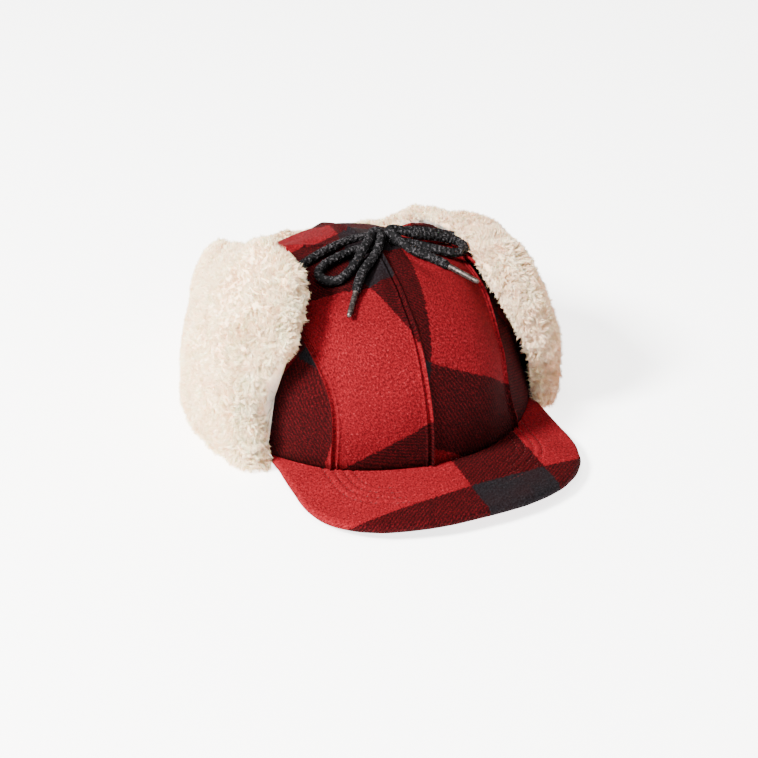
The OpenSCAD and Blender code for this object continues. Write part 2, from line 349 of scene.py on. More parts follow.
class Nodes:
    """A short way to write a material's node tree."""

    def __init__(self, name):
        self.material = bpy.data.materials.new(name)
        self.material.use_nodes = True
        self.tree = self.material.node_tree
        self.shader = self.tree.nodes["Principled BSDF"]

    def put(self, socket, value):
        if isinstance(value, bpy.types.NodeSocket):
            self.tree.links.new(value, socket)
        else:
            socket.default_value = value

    def add(self, kind, **values):
        node = self.tree.nodes.new("ShaderNode" + kind)
        for key, value in values.items():
            if hasattr(node, key):
                setattr(node, key, value)
            else:
                self.put(node.inputs[key.replace("_", " ")], value)
        return node

    def set(self, **values):
        for key, value in values.items():
            self.put(self.shader.inputs[key.replace("_", " ")], value)
        return self.material

    def place(self):
        """Where a point lies on its own object, in metres."""
        return self.add("TexCoord").outputs["Object"]

    def cloth(self):
        """A point's cloth coordinates in millimetres: both, the first and the second."""
        uv = self.add("UVMap", uv_map="cloth").outputs[0]
        parts = self.add("SeparateXYZ", Vector=uv).outputs
        return uv, parts[0], parts[1]

    def gap(self):
        """The share of painted shade stored on a point."""
        return self.add("Attribute", attribute_name="gap").outputs["Fac"]

    def math(self, operation, *values, clamp=False):
        node = self.add("Math", operation=operation, use_clamp=clamp)
        for socket, value in zip(node.inputs, values):
            self.put(socket, value)
        return node.outputs[0]

    def plus(self, a, b):
        return self.math("ADD", a, b)

    def minus(self, a, b):
        return self.math("SUBTRACT", a, b)

    def times(self, a, b, clamp=False):
        return self.math("MULTIPLY", a, b, clamp=clamp)

    def waves(self, value, length):
        return self.math("SINE", self.times(value, 2 * math.pi / length))

    def step(self, value, low, high):
        """0 below low and 1 above high, smooth in between."""
        return self.add("MapRange", interpolation_type="SMOOTHSTEP", Value=value,
                        From_Min=low, From_Max=high).outputs[0]

    def noise(self, vector, scale, detail=2.0, rough=0.5):
        return self.add("TexNoise", Vector=vector, Scale=scale, Detail=detail,
                        Roughness=rough).outputs["Fac"]

    def mix(self, factor, a, b, blend="MIX"):
        node = self.add("Mix", data_type="RGBA", blend_type=blend, Factor=factor)
        self.put(node.inputs[6], a)
        self.put(node.inputs[7], b)
        return node.outputs[2]

    def bump(self, height, distance, strength):
        return self.add("Bump", Height=height, Distance=distance, Strength=strength).outputs[0]

    def scaled(self, vector, x, y, z=1.0):
        node = self.add("VectorMath", operation="MULTIPLY")
        self.put(node.inputs[0], vector)
        self.put(node.inputs[1], (x, y, z))
        return node.outputs[0]


def rgb(r, g, b):
    """A linear colour."""
    return (r, g, b, 1)


# The check in millimetres of cloth: width of a black stripe, and of stripe and red ground
CHECK_DARK, CHECK_REPEAT = 45, 130
# The wool's colours: the nap's hollows and its ridges, whose difference is partly the fibres' own
# tone and partly painted shade in the hollows and painted light on the ridges, and flecks
RED = rgb(0.041, 0.0009, 0.0018), rgb(0.150, 0.0048, 0.0086), rgb(0.215, 0.0155, 0.0205)
BLACK = rgb(0.0009, 0.0010, 0.0014), rgb(0.007, 0.0078, 0.0095), rgb(0.018, 0.0175, 0.020)
RED_LINE = rgb(0.012, 0.0004, 0.0007), rgb(0.052, 0.0018, 0.0032), rgb(0.074, 0.0055, 0.0075)
DARK_LINE = rgb(0.0016, 0.0002, 0.0003), rgb(0.010, 0.0008, 0.0013)
CLOUDED = rgb(0.02, 0.0, 0.0)
# Painted shade: the colour the wool turns to deep in the gap behind the ear lobes, and by how much
GAP_SHADE, GAP_SHADE_SHARE = rgb(0.002, 0.0004, 0.0005), 0.85


def check_stripe(m, along, ragged):
    """1 on the check's black stripes, whose edges are ragged."""
    along = m.plus(along, ragged)
    turn = m.times(m.math("FRACT", m.math("DIVIDE", along, CHECK_REPEAT)), CHECK_REPEAT)
    return m.times(m.step(turn, -0.3, 0.3), m.step(m.minus(CHECK_DARK, turn), -0.3, 0.3))


def twill_lines(m, uv, u, v):
    """Fine diagonal lines, where a red and a black set of yarns cross."""
    wander = m.times(m.minus(m.noise(uv, 0.7, 3, 0.6), 0.5), 3.8)
    across = m.plus(m.plus(m.times(u, 0.6), m.times(v, 0.8)), wander)
    worn = m.minus(m.noise(uv, 1.1, 3, 0.6), 0.5)
    return m.step(m.plus(m.waves(across, 1.9), m.times(worn, 5.5)), -1.2, 1.2)


def flecked(m, grain, fleck, colours, low=0.54):
    hollow, ridge, spot = colours
    return m.mix(m.step(fleck, low, 0.74), m.mix(grain, hollow, ridge), spot)


def plaid_wool(name, painted_light):
    """Napped wool twill in red and black check, from cloth coordinates; its second argument scales
    its colour, above 1 as painted light and below 1 as painted shade.
    """
    m = Nodes(name)
    uv, u, v = m.cloth()
    ragged = m.times(m.minus(m.noise(uv, 0.55), 0.5), 3.2)
    warp, weft = check_stripe(m, u, ragged), check_stripe(m, v, ragged)
    either = m.math("MAXIMUM", warp, weft)
    twill = twill_lines(m, uv, u, v)
    nap = m.noise(m.scaled(uv, 1.0, 0.7), 1.05, 5, 0.82)
    fleck = m.noise(uv, 0.75, 3, 0.6)
    # grain follows the nap's height: its hollows get painted shade and its ridges painted light,
    # over the fibres' own uneven tone
    grain = m.step(nap, 0.39, 0.61)

    lines = m.mix(twill, m.mix(grain, *DARK_LINE), flecked(m, grain, fleck, RED_LINE))
    colour = m.mix(either, flecked(m, grain, fleck, RED), lines)
    colour = m.mix(m.times(warp, weft), colour, flecked(m, grain, fleck, BLACK, 0.56))
    cloud = m.minus(m.noise(uv, 0.045), 0.4)
    colour = m.mix(m.times(cloud, 0.5, clamp=True), colour, CLOUDED)
    # Painted shade deep in the gap between the crown and the flaps
    colour = m.mix(m.times(m.gap(), GAP_SHADE_SHARE), colour, GAP_SHADE)
    # Painted light and shade: the whole colour scaled, brighter for the bill's copy and darker for
    # the others'
    colour = m.mix(1.0, colour, rgb(painted_light, painted_light, painted_light), "MULTIPLY")

    height = m.plus(m.times(nap, 0.7), m.times(fleck, 0.5))
    height = m.plus(height, m.times(m.times(twill, either), 0.22))
    height = m.plus(height, m.times(m.noise(m.place(), 1400.0), 0.25))
    return m.set(Base_Color=colour, Roughness=m.plus(0.80, m.times(nap, 0.18)),
                 Normal=m.bump(height, 0.0007, 0.9), Sheen_Weight=0.01, Sheen_Roughness=0.6,
                 Sheen_Tint=rgb(0.9, 0.2, 0.15), Specular_IOR_Level=0.03)


# The fleece's glints, and the tan of its roots, which it turns to as painted shade on its inner
# side and low on the wearer's left lobe, and at random on the lobes' front faces
FLEECE_GLINT, FLEECE_SHADE_TAN = rgb(1.0, 0.97, 0.92), rgb(0.55, 0.29, 0.17)


def shearling_wool(name, root, tip, deep):
    """Cream fleece: bright tips over tan roots, with a fine fibre grain."""
    m = Nodes(name)
    place = m.place()
    lump = m.noise(place, 130.0, 3, 0.6)
    fibre = m.noise(place, 900.0, 3, 0.6)
    blush = m.step(m.noise(place, 28.0), 0.45, 0.8)
    colour = m.mix(m.step(lump, 0.3, 0.7), root, tip)
    colour = m.mix(m.times(blush, 0.3), colour, deep)
    colour = m.mix(m.times(m.step(fibre, 0.55, 0.8), 0.25), colour, FLEECE_GLINT)
    # Painted shade: the tan laid on where the stored share says
    colour = m.mix(m.gap(), colour, FLEECE_SHADE_TAN)
    m.shader.subsurface_method = "RANDOM_WALK"
    return m.set(Base_Color=colour, Roughness=m.plus(0.82, m.times(fibre, 0.12)),
                 Normal=m.bump(m.plus(lump, m.times(fibre, 0.4)), 0.0012, 0.6),
                 Sheen_Weight=0.4, Sheen_Roughness=0.5, Specular_IOR_Level=0.12,
                 Subsurface_Weight=0.25, Subsurface_Scale=0.004)


def braided_cord_material():
    """Black braid with grey flecks, painted highlights at random on the yarn: fine diamonds of yarn
    round the cord.
    """
    m = Nodes("braided_cord")
    uv, share, run = m.cloth()
    around = m.times(share, 2 * math.pi * 4)
    along = m.times(run, 2 * math.pi / 4.4)
    weave = m.times(m.math("SINE", m.plus(around, along)), m.math("SINE", m.minus(around, along)))
    cell = m.add("TexVoronoi", feature="F1", Vector=m.scaled(uv, 17.0, 1.25), Scale=1.0)
    pick = m.add("SeparateColor", Color=cell.outputs["Color"])
    fleck = m.step(pick.outputs[0], 0.66, 0.72)
    fine = m.noise(m.scaled(uv, 40.0, 6.0), 1.0, 3)
    base = m.mix(fine, rgb(0.0006, 0.0006, 0.0008), rgb(0.0035, 0.0033, 0.0038))
    # Painted highlights: the flecks' bright grey
    painted_highlight = m.mix(m.step(fine, 0.5, 0.72), rgb(0.02, 0.018, 0.02), rgb(0.15, 0.14, 0.15))
    colour = m.mix(m.times(fleck, m.step(fine, 0.42, 0.56)), base, painted_highlight)
    height = m.plus(m.times(weave, 0.5), m.times(fine, 0.35))
    return m.set(Base_Color=colour, Roughness=0.72, Normal=m.bump(height, 0.0005, 0.9),
                 Specular_IOR_Level=0.08)


def thread_material(name, dark, light):
    m = Nodes(name)
    twist = m.noise(m.place(), 1500.0)
    return m.set(Base_Color=m.mix(twist, dark, light), Roughness=0.6,
                 Normal=m.bump(twist, 0.0002, 0.6), Specular_IOR_Level=0.25)


def satin_lining():
    """Dark grey twilled satin lining, a little creased, with painted shade where the creases sink
    in.
    """
    m = Nodes("lining_satin")
    uv, u, v = m.cloth()
    lines = m.waves(m.plus(u, v), 0.9)
    crease = m.noise(uv, 0.12, 3)
    # Painted shade: darker where the creases sink in
    colour = m.mix(crease, rgb(0.018, 0.018, 0.021), rgb(0.055, 0.056, 0.062))
    height = m.plus(m.times(lines, 0.12), crease)
    return m.set(Base_Color=colour, Roughness=m.plus(0.38, m.times(crease, 0.2)),
                 Normal=m.bump(height, 0.0006, 0.5), Sheen_Weight=0.2, Specular_IOR_Level=0.5)


def ribbed_band():
    """Black ribbed cotton of the sweatband, with painted shade in the ribs' grooves."""
    m = Nodes("sweatband_cotton")
    uv, u, _ = m.cloth()
    rib = m.waves(u, 1.3)
    grain = m.noise(uv, 2.0, 3)
    # Painted shade: the ribs' grooves darker than their tops
    colour = m.mix(m.step(rib, -0.8, 0.9), rgb(0.006, 0.006, 0.007), rgb(0.036, 0.035, 0.036))
    colour = m.mix(m.times(grain, 0.4), colour, rgb(0.05, 0.048, 0.047))
    height = m.plus(m.times(rib, 0.5), m.times(grain, 0.3))
    return m.set(Base_Color=colour, Roughness=m.plus(0.75, m.times(grain, 0.15)),
                 Normal=m.bump(height, 0.0005, 0.7), Sheen_Weight=0.2, Specular_IOR_Level=0.2)


def aglet_metal():
    """Rolled dark metal tip, rubbed brighter in places and scratched across."""
    m = Nodes("aglet_metal")
    place = m.place()
    rub = m.step(m.noise(place, 700.0, 3), 0.4, 0.75)
    scratch = m.noise(m.scaled(place, 1, 1, 6), 260.0)
    return m.set(Base_Color=m.mix(rub, rgb(0.035, 0.027, 0.026), rgb(0.17, 0.14, 0.13)),
                 Roughness=m.plus(0.32, m.times(scratch, 0.3)), Metallic=0.85,
                 Normal=m.bump(scratch, 0.0001, 0.5))


def board_plastic():
    """Matte grey bill board, which only shows if the covers are hidden."""
    m = Nodes("board_plastic")
    grain = m.noise(m.place(), 500.0, 3)
    return m.set(Base_Color=m.mix(grain, rgb(0.10, 0.10, 0.10), rgb(0.16, 0.16, 0.155)),
                 Roughness=m.plus(0.5, m.times(grain, 0.2)), Normal=m.bump(grain, 0.0002, 0.4))


# One cloth in a shaded and a lit copy: the other pieces' colour scaled to 0.9 as painted shade, the
# bill's to 1.14 as painted light
WOOL = plaid_wool("plaid_wool", 0.9)
LIT_BILL_WOOL = plaid_wool("bill_wool_painted_light", 1.14)
FLEECE = shearling_wool(
    "fleece", root=rgb(0.85, 0.56, 0.35), tip=rgb(0.96, 0.785, 0.55),
    deep=rgb(0.81, 0.50, 0.32))
LOCKS = shearling_wool(
    "fleece_locks", root=rgb(0.95, 0.70, 0.45), tip=rgb(0.99, 0.865, 0.60),
    deep=rgb(0.93, 0.66, 0.44))
BRAID = braided_cord_material()
THREAD = thread_material("dark_red_thread", rgb(0.02, 0.002, 0.003), rgb(0.09, 0.008, 0.008))
LINING = satin_lining()
COTTON = ribbed_band()
METAL = aglet_metal()
BOARD = board_plastic()


# ---- tie cords ----

# Routes in millimetres, the same as in the CAD part
TIE_ROUTES = {
    "right": [
        (-51.5, -1.5, 92.4), (-49, -2.5, 93), (-39, 0, 96), (-27, 4, 98), (-15, 8, 98.8),
        (-7, 9.8, 98.9), (-0.5, 9, 98.8), (3.1, 5, 98.8), (1.5, 0, 98.7), (-4, -3, 98.7),
        (-12, -3, 98.8), (-23, -5.5, 98), (-32, -8.5, 96.8), (-37.5, -12.5, 95.4), (-39, -18, 94.7),
        (-36.5, -23, 94.5), (-31, -25.5, 95.2), (-24, -22, 96.8), (-18, -17, 98.5),
        (-13, -12, 100.6), (-8, -7, 103), (-3.5, -2.5, 104.6), (0, 2, 104.8), (2.7, 3, 104.6),
        (3.1, -0.5, 104.2), (0.5, -6, 101.8), (-4, -11.5, 99.2), (-9, -16.5, 97.8),
        (-15, -22, 96.6), (-21, -29.5, 94.8), (-26, -37, 92.4)],
    "left": [
        (52, 2.4, 92.1), (50, 3, 92.5), (41, 5.5, 95), (31, 8, 97), (21, 9.8, 98.4),
        (14, 9.5, 98.8), (9.6, 6.5, 98.8), (9, 1.5, 98.7), (12.5, -2.5, 98.6), (19, -5.5, 98),
        (26, -11, 97), (33, -16.5, 96), (39, -18.5, 94.4), (44, -18, 93.8), (47.5, -14.5, 93.6),
        (48, -9.5, 94.2), (44.5, -5.5, 95.4), (37, -3, 97.2), (28, -1.5, 99.4), (20, 1, 101.8),
        (14, 3.3, 103.6), (10, 2.8, 104.3), (9, -1, 104.6), (10.5, -5.5, 103.2), (13.5, -11, 100.6),
        (17.5, -16, 98.2), (22.5, -20.5, 96.6), (27, -25.5, 95.2), (31, -30.5, 93.4)],
}


def smooth_route(points, step):
    """A Catmull-Rom curve through the points, resampled at an even step."""
    p = np.array(points, float)
    p = np.concatenate([[2 * p[0] - p[1]], p, [2 * p[-1] - p[-2]]])
    s = np.linspace(0, 1, 24, endpoint=False)[:, None]
    pieces = []
    for i in range(1, len(p) - 2):
        a, b, c, d = p[i - 1: i + 3]
        pieces.append(0.5 * (2 * b + (c - a) * s + (2 * a - 5 * b + 4 * c - d) * s**2
                             + (3 * b - a - 3 * c + d) * s**3))
    curve = np.concatenate(pieces + [p[-2:-1]])
    run = arc_lengths(curve, 0)
    at = np.linspace(0, run[-1], max(int(run[-1] / step), 2) + 1)
    return resampled(at, run, curve), run[-1]


def frames_along(path):
    """Tangents and two steady cross directions at each point of a path."""
    tangent = unit(np.gradient(path, axis=0))
    across = unit(np.cross(tangent, [0, 0, 1.0]))
    return tangent, across, np.cross(across, tangent)


# The braid's strands, the length in which they go round once, and its rings' points and spacing
BRAID_STRANDS, BRAID_LAY = 8, 9.0
CORD_SIDES, CORD_STEP = 48, 0.42


def braid_radius(turn, run):
    """The cord's radius round it and along it: it rises and falls with the braid's strands."""
    round_it, lay = BRAID_STRANDS / 2 * turn[None], 4 * np.pi * run / BRAID_LAY
    strand = np.maximum(np.cos(round_it + lay), np.cos(round_it - lay))
    radius = CORD_D / 2 - 0.12 + 0.22 * strand + 0.05 * np.sin(2 * np.pi * run / 1.1)
    radius[:6] *= np.linspace(0.82, 1, 6)[:, None]
    radius[-6:] *= np.linspace(1, 0.72, 6)[:, None]
    return radius


def make_tie(side):
    """The braided cord, from its exit beside the ear lobe to its aglet."""
    path, length = smooth_route(TIE_ROUTES[side], CORD_STEP)
    _, across, up = frames_along(path)
    rows = len(path)
    turn = full_turn(CORD_SIDES)
    run = np.arange(rows)[:, None] * (length / (rows - 1))
    skin = path[:, None] + braid_radius(turn, run)[..., None] * round_about(turn, across, up)
    points = np.concatenate([skin.reshape(-1, 3), path[:1], path[-1:]])
    uv = np.stack(np.broadcast_arrays(turn[None] / (2 * np.pi), run), -1).reshape(-1, 2)
    uv = np.concatenate([uv, [[0, 0], [0, length]]])
    faces = grid_faces(rows, CORD_SIDES, wrap_cols=True)
    tube = new_mesh("braided_tie_" + side, points, faces, BRAID, uv)
    close_ends(tube, rows, CORD_SIDES)
    settle(tube, "tie_" + side, "tie_" + side)
    aglet = make_aglet(side, path)


def close_ends(tube, rows, around):
    """Fans the first and last rings of a tube to its two end points."""
    bm = bmesh.new()
    bm.from_mesh(tube.data)
    bm.verts.ensure_lookup_table()
    uv = bm.loops.layers.uv.active
    for ring, centre, turn in ((0, rows * around, 1), (rows - 1, rows * around + 1, -1)):
        for k in range(around):
            a = bm.verts[ring * around + k]
            b = bm.verts[ring * around + (k + 1) % around]
            face = bm.faces.new([a, bm.verts[centre], b][::turn])
            face.smooth = True
            for loop in face.loops:
                loop[uv].uv = (0.5, 0.0)
    bm.normal_update()
    bm.to_mesh(tube.data)
    bm.free()


# The aglet: length, points round it, and its outline as distance from the cord's end and radius
AGLET_LENGTH, AGLET_SIDES = 19.0, 28
AGLET_OUTLINE = [
    (0.0, 0.0), (0.0, 1.25), (0.15, 1.6), (0.9, 1.66), (1.5, 1.5), (2.1, 1.42), (2.7, 1.52),
    (3.3, 1.6), (8.0, 1.52), (AGLET_LENGTH - 2.4, 1.42), (AGLET_LENGTH - 1.0, 1.3),
    (AGLET_LENGTH - 0.35, 1.05), (AGLET_LENGTH - 0.05, 0.6), (AGLET_LENGTH, 0.0)]


def make_aglet(side, path):
    """A rolled metal tip with a crimped neck, a seam and a blunt rounded end."""
    tangent, across, up = (v[-1:] for v in frames_along(path))
    turn = full_turn(AGLET_SIDES)
    seam = 0.16 * bell(np.abs((turn + np.pi) % (2 * np.pi) - np.pi), 0, 0.16)
    circle = round_about(turn, across, up)[0]
    rings = []
    for s, r in AGLET_OUTLINE:
        dent = seam if 0.2 < s < AGLET_LENGTH - 0.5 else 0 * seam
        radius = np.maximum(r - dent, 0.001)[:, None]
        rings.append(path[-1] + (s + 0.05) * tangent + radius * circle)
    faces = grid_faces(len(rings), AGLET_SIDES, wrap_cols=True)
    obj = new_mesh("metal_aglet_" + side, np.concatenate(rings), faces, METAL)
    settle(obj, "tie_" + side, "aglet_" + side)
    return obj


for side in SIDES:
    make_tie(side)


# ---- crown ----

TIE_LINES = np.concatenate([smooth_route(TIE_ROUTES[s], 1.0)[0] for s in SIDES])


def side_seam(t):
    """The seam between a front and a side gore: it turns rearwards as it climbs."""
    turn = np.clip((t - 0.05) / 0.8, 0, 1) ** 1.5
    return FRONT_SEAM + SEAM_TURN * smooth(turn, 0, 1)


def front_centre(t):
    """The front's middle seam is drawn a little to the wearer's right by the tie."""
    return -CENTRE_PULL * (1 - smooth(t, 0.62, 0.97)) * (0.8 + 0.2 * smooth(t, 0, 0.4))


SEAMS = {
    "front": (front_centre, side_seam),
    "side": (side_seam, lambda t: REAR_SEAM + 0 * t),
    "back": (lambda t: REAR_SEAM + 0 * t, lambda t: 180 + 0 * t),
}

# Plaid direction (degrees) and place (mm) of each gore's cloth
CLOTH = {
    ("front", "left"): (-28, 98.5, 8.2), ("front", "right"): (30, -50.6, 33.7),
    ("side", "left"): (12, 72, -67), ("side", "right"): (-12, -28.5, -67),
    ("back", "left"): (-141.7, 82.5, 122.2), ("back", "right"): (158.4, -52.7, 153),
}
# Gores whose check runs on across the top of the crown
OVER_THE_TOP = {("side", "right"), ("back", "right"), ("back", "left")}
# Angle of the line up each gore that its cloth is measured from
CLOTH_LINE = {"front": 20.0, "side": 80.0, "back": 150.0}


def turned(u, v, place):
    """Cloth coordinates turned and shifted to one piece's place in the plaid."""
    angle, du, dv = place
    c, s = math.cos(math.radians(angle)), math.sin(math.radians(angle))
    return np.stack([c * u + s * v + du, -s * u + c * v + dv], -1)


# Columns beside a gore's seams, in millimetres from the seam, and the columns between them
EDGE_COLUMNS = np.array(
    [0, 0.25, 0.55, 0.9, 1.25, 1.6, 1.95, 2.3, 2.6, 2.9, 3.2, 3.6, 4.3, 5.5, 7.5])
MIDDLE_COLUMNS = 40


def gore_columns(width):
    """Shares of a gore's width, fine near its two seams, for each row's width."""
    last = len(EDGE_COLUMNS) - 1
    most = 0.30 * np.arange(last + 1) / last
    near = np.minimum(EDGE_COLUMNS[None] / np.maximum(width[:, None], 1), most[None])
    mid = np.linspace(0, 1, MIDDLE_COLUMNS + 2)[1:-1][None]
    middle = near[:, -1:] + (1 - 2 * near[:, -1:]) * mid
    return np.concatenate([near, middle, 1 - near[:, ::-1]], 1)


def gore_angles(kind, side, t):
    """Angles of a gore's points, their shares of its width, and its width in each row."""
    low, high = (f(t)[:, None] for f in SEAMS[kind])
    if kind == "front":
        low = low * SIDES[side]
    rows = crown_at(low + (high - low) * np.linspace(0, 1, 30), t[:, None], 0)
    width = arc_lengths(rows, 1)[:, -1]
    share = gore_columns(width)
    return low + (high - low) * share, share, width


def welt(distance, ribbed):
    """Height across a seam: the join, then a rolled rib and its sunken line of stitching."""
    join = -1.3 * bell(distance, 0, 0.7)
    if not ribbed:
        return join - 0.25 * bell(distance, 1.6, 1.4)
    return join + 0.75 * bell(distance, 1.45, 0.85) - 0.7 * bell(distance, 2.95, 0.45)


# Ribs lie on the front gore at the side seams, and on the wearer's right at the middle seams
RIBBED = {
    ("front", "left"): (False, True), ("front", "right"): (True, True),
    ("side", "left"): (False, False), ("side", "right"): (False, False),
    ("back", "left"): (True, False), ("back", "right"): (True, True),
}
SWELL = Waves(11, 70)
WRINKLE = Waves(12, 26)
KNOT_XY = np.array([6.0, 4.0])
# Mounds and hollows: place, radius, height, and the heights between which they fade in
MOUNDS = [(-24, 14, 16, 1.6, 60, 85), (34, 10, 16, 1.4, 60, 85), (-48, 30, 22, -4.5, 45, 75)]
# Folds: heading from the knot, angular width, height, start and end, in degrees and millimetres
FOLDS = [(-100, 7, 1.1, 12, 75), (-113, 5, -0.9, 12, 60), (-124, 6, 1.3, 10, 80),
         (-137, 5, -1.1, 12, 70), (-150, 7, 1.0, 12, 75), (-78, 5, -0.6, 14, 55),
         (-66, 6, 0.7, 14, 60), (-50, 5, -0.6, 14, 60), (-168, 6, -0.8, 14, 60),
         (20, 7, 0.7, 14, 60), (150, 7, 0.8, 14, 60), (95, 8, -0.7, 14, 60)]


def crown_swell(p):
    """Soft swelling, pull folds towards the knot and small creases of the crown's cloth."""
    away = p[..., :2] - KNOT_XY
    reach = np.linalg.norm(away, axis=-1)
    heading = np.degrees(np.arctan2(away[..., 1], away[..., 0]))
    swell = (0.9 * SWELL(p) + 0.3 * WRINKLE(p)) * smooth(p[..., 2], 20, 60)
    swell -= 1.6 * bell(reach, 0, 16)
    for x, y, radius, height, low, high in MOUNDS:
        near = bell(np.hypot(p[..., 0] - x, p[..., 1] - y), 0, radius)
        swell += height * near * smooth(p[..., 2], low, high)
    for angle, width, height, start, end in FOLDS:
        turn = (heading - angle + 180) % 360 - 180
        along = smooth(reach, start, start + 10) * (1 - smooth(reach, end - 25, end))
        swell += height * bell(turn, 0, width) * along
    return swell


# How near the cloth's surface may lie to a cord's centreline
CORD_CLEAR = 2.95


def press_under_cords(p, n):
    """Pushes cloth in where it would be too near to a cord's centreline."""
    flat = p.reshape(-1, 3)
    near = flat[:, 2] > 80
    gap = np.full(len(flat), 99.0)
    gap[near] = np.sqrt(((flat[near][:, None] - TIE_LINES[None]) ** 2).sum(-1).min(1))
    push = np.clip(CORD_CLEAR - gap, 0, None)
    return p - n * push.reshape(p.shape[:-1])[..., None]


def gore_surface(kind, side, t):
    """A gore's outer points, their normals and angles, and its width in each row."""
    sign = SIDES[side]
    a, share, width = gore_angles(kind, side, t)
    base = crown_at(sign * a, t[:, None], 0)
    normal = surface_normals(base) * -sign
    first, last = RIBBED[kind, side]
    from_low = share * width[:, None]
    from_high = (1 - share) * width[:, None]
    fade = smooth(width, 5, 24)[:, None]
    height = (welt(from_low, first) + welt(from_high, last)) * fade
    height += 1.3 * (4 * share * (1 - share)) ** 0.8 * fade
    height += crown_swell(base)
    height -= 0.8 * bell(t[:, None], 0, 0.03)
    outer = press_under_cords(base + normal * height[..., None], normal)
    outer[0, :, 2] -= 2.4 * smooth(np.cos(np.radians(a[0])), 0.3, 0.6)
    return outer, normal, a, width


def cloth_uv(kind, side, a, t):
    """Where each point lies on the gore's cloth: across from one line and up from the hem."""
    sign = SIDES[side]
    fine = np.linspace(-20, 180, 401)
    around = arc_lengths(dome_at(fine[None], t[:, None], 0), 1)
    line = np.interp(CLOTH_LINE[kind], fine, np.arange(401))
    across = np.stack([np.interp(row, fine, run) - run[int(line)] for row, run in zip(a, around)])
    up = arc_lengths(dome_at(sign * CLOTH_LINE[kind], np.concatenate([[0], t]), 0), 0)[1:]
    own = turned(across * sign, np.broadcast_to(up[:, None], across.shape), CLOTH[kind, side])
    if (kind, side) not in OVER_THE_TOP:
        return own
    # Over the top these gores' cloth fades to one flat plaid that they share
    x, y, _ = np.moveaxis(dome_at(sign * a, t[:, None], 0), -1, 0)
    u = 0.98 * (x + 12) - 0.2 * (y - 15)
    v = 45 - 0.371 * (x + 26) + 0.928 * (y - 29)
    share = smooth(t, 0.62, 0.74)[:, None, None]
    return own * (1 - share) + np.stack([u, v], -1) * share


# Rows up a gore, as shares of the crown's profile, and the thickness of its cloth and lining
GORE_T = 1 - (1 - np.linspace(0, 0.98, 96)) ** 1.5
WOOL_T, LINING_T = 2.1, 0.6


def gap_depth(a, t):
    """How deep in the gap between the crown and the folded-up flaps a point lies, 0 to 1, which
    sets its painted shade.
    """
    first = np.where((a % 360) < 180, 43.0, 50.0)
    beside = smooth(from_front(a), first, first + 10) * (1 - smooth(from_front(a), 66, 84))
    return smooth(band_top(a) - t, 0.0, 0.3) * beside


def store_painted_shade(obj, share):
    """Stores one number for each point, which the materials read as its share of painted shade."""
    layer = obj.data.attributes.new("gap", "FLOAT", "POINT")
    layer.data.foreach_set("value", np.asarray(share, np.float32))


def mark_painted_shade(obj, share):
    """Stores the share of painted shade on both faces of a sheet."""
    store_painted_shade(obj, np.concatenate([share.ravel()] * 2))


def make_gore(kind, side):
    outer, normal, a, _ = gore_surface(kind, side, GORE_T)
    uv = cloth_uv(kind, side, a, GORE_T)
    name = "wool_%s_%s" % (kind, side)
    gore = sheet_shell(name, outer, outer - normal * WOOL_T, WOOL, uv, flip=SIDES[side] > 0)
    # Painted shade on the crown's sides, in the gap behind the ear flaps
    mark_painted_shade(gore, 0.6 * gap_depth(SIDES[side] * a, GORE_T[:, None]))
    settle(gore, "crown", "panel_%s_%s" % (kind, side))


def make_lining(kind, side):
    t = GORE_T[::2]
    sign = SIDES[side]
    a, share, width = gore_angles(kind, side, t)
    a, share = a[:, ::2], share[:, ::2]
    base = crown_at(sign * a, t[:, None], -2.95)
    normal = surface_normals(base) * -sign
    crease = Waves(31 + sign, 18)(base) * 0.25 * smooth(t, 0.3, 0.6)[:, None]
    seam = bell(share * width[:, None], 0, 1.2) + bell((1 - share) * width[:, None], 0, 1.2)
    outer = base - normal * (np.abs(crease) + 0.3 * seam)[..., None]
    u = (arc_lengths(base, 1) - 30) * sign
    up = arc_lengths(base[:, share.shape[1] // 2], 0)[:, None]
    uv = np.stack([u, np.broadcast_to(up, u.shape)], -1)
    name = "satin_%s_%s" % (kind, side)
    obj = sheet_shell(name, outer, outer - normal * LINING_T, LINING, uv, flip=sign > 0)
    settle(obj, "crown", "lining_%s_%s" % (kind, side))


# ---- stitches ----

STITCH_GAP = 0.5
STITCH_SIDES = 6
# Radius of a stitch along it, as shares, and the quads that close the ends of its tube
STITCH_TAPER = np.array([0.35, 0.9, 1, 1, 0.9, 0.35])
STITCH_CAPS = np.array([[0, 1, 2, 3], [0, 3, 4, 5], [33, 32, 31, 30], [35, 34, 33, 30]])


def stitch_run(line, normal, length=2.5, radius=0.24):
    """Short thread stitches along a line: each dives into the cloth at both of its ends."""
    run = arc_lengths(line, 0)
    rings = len(STITCH_TAPER)
    count = max(int(run[-1] / (length + STITCH_GAP)), 1)
    s = np.linspace(0, 1, rings)
    at = (np.arange(count)[:, None] * (length + STITCH_GAP) + s[None] * length).ravel()
    n = unit(resampled(at, run, normal))
    dive = np.tile(-0.45 * (2 * s - 1) ** 4 + 0.08, count)
    p = resampled(at, run, line) + n * dive[:, None]
    across = np.cross(unit(np.gradient(p, axis=0)), n)
    thick = np.tile(radius * STITCH_TAPER, count)
    skin = p[:, None] + thick[:, None, None] * round_about(full_turn(STITCH_SIDES), across, n)
    one = np.concatenate([grid_faces(rings, STITCH_SIDES, wrap_cols=True), STITCH_CAPS])
    return skin.reshape(-1, 3), copies(one, count, rings * STITCH_SIDES)


def copies(faces, count, points):
    """The faces of a number of pieces in one mesh that have the same number of points each."""
    return (faces[None] + (np.arange(count) * points)[:, None, None]).reshape(-1, 4)


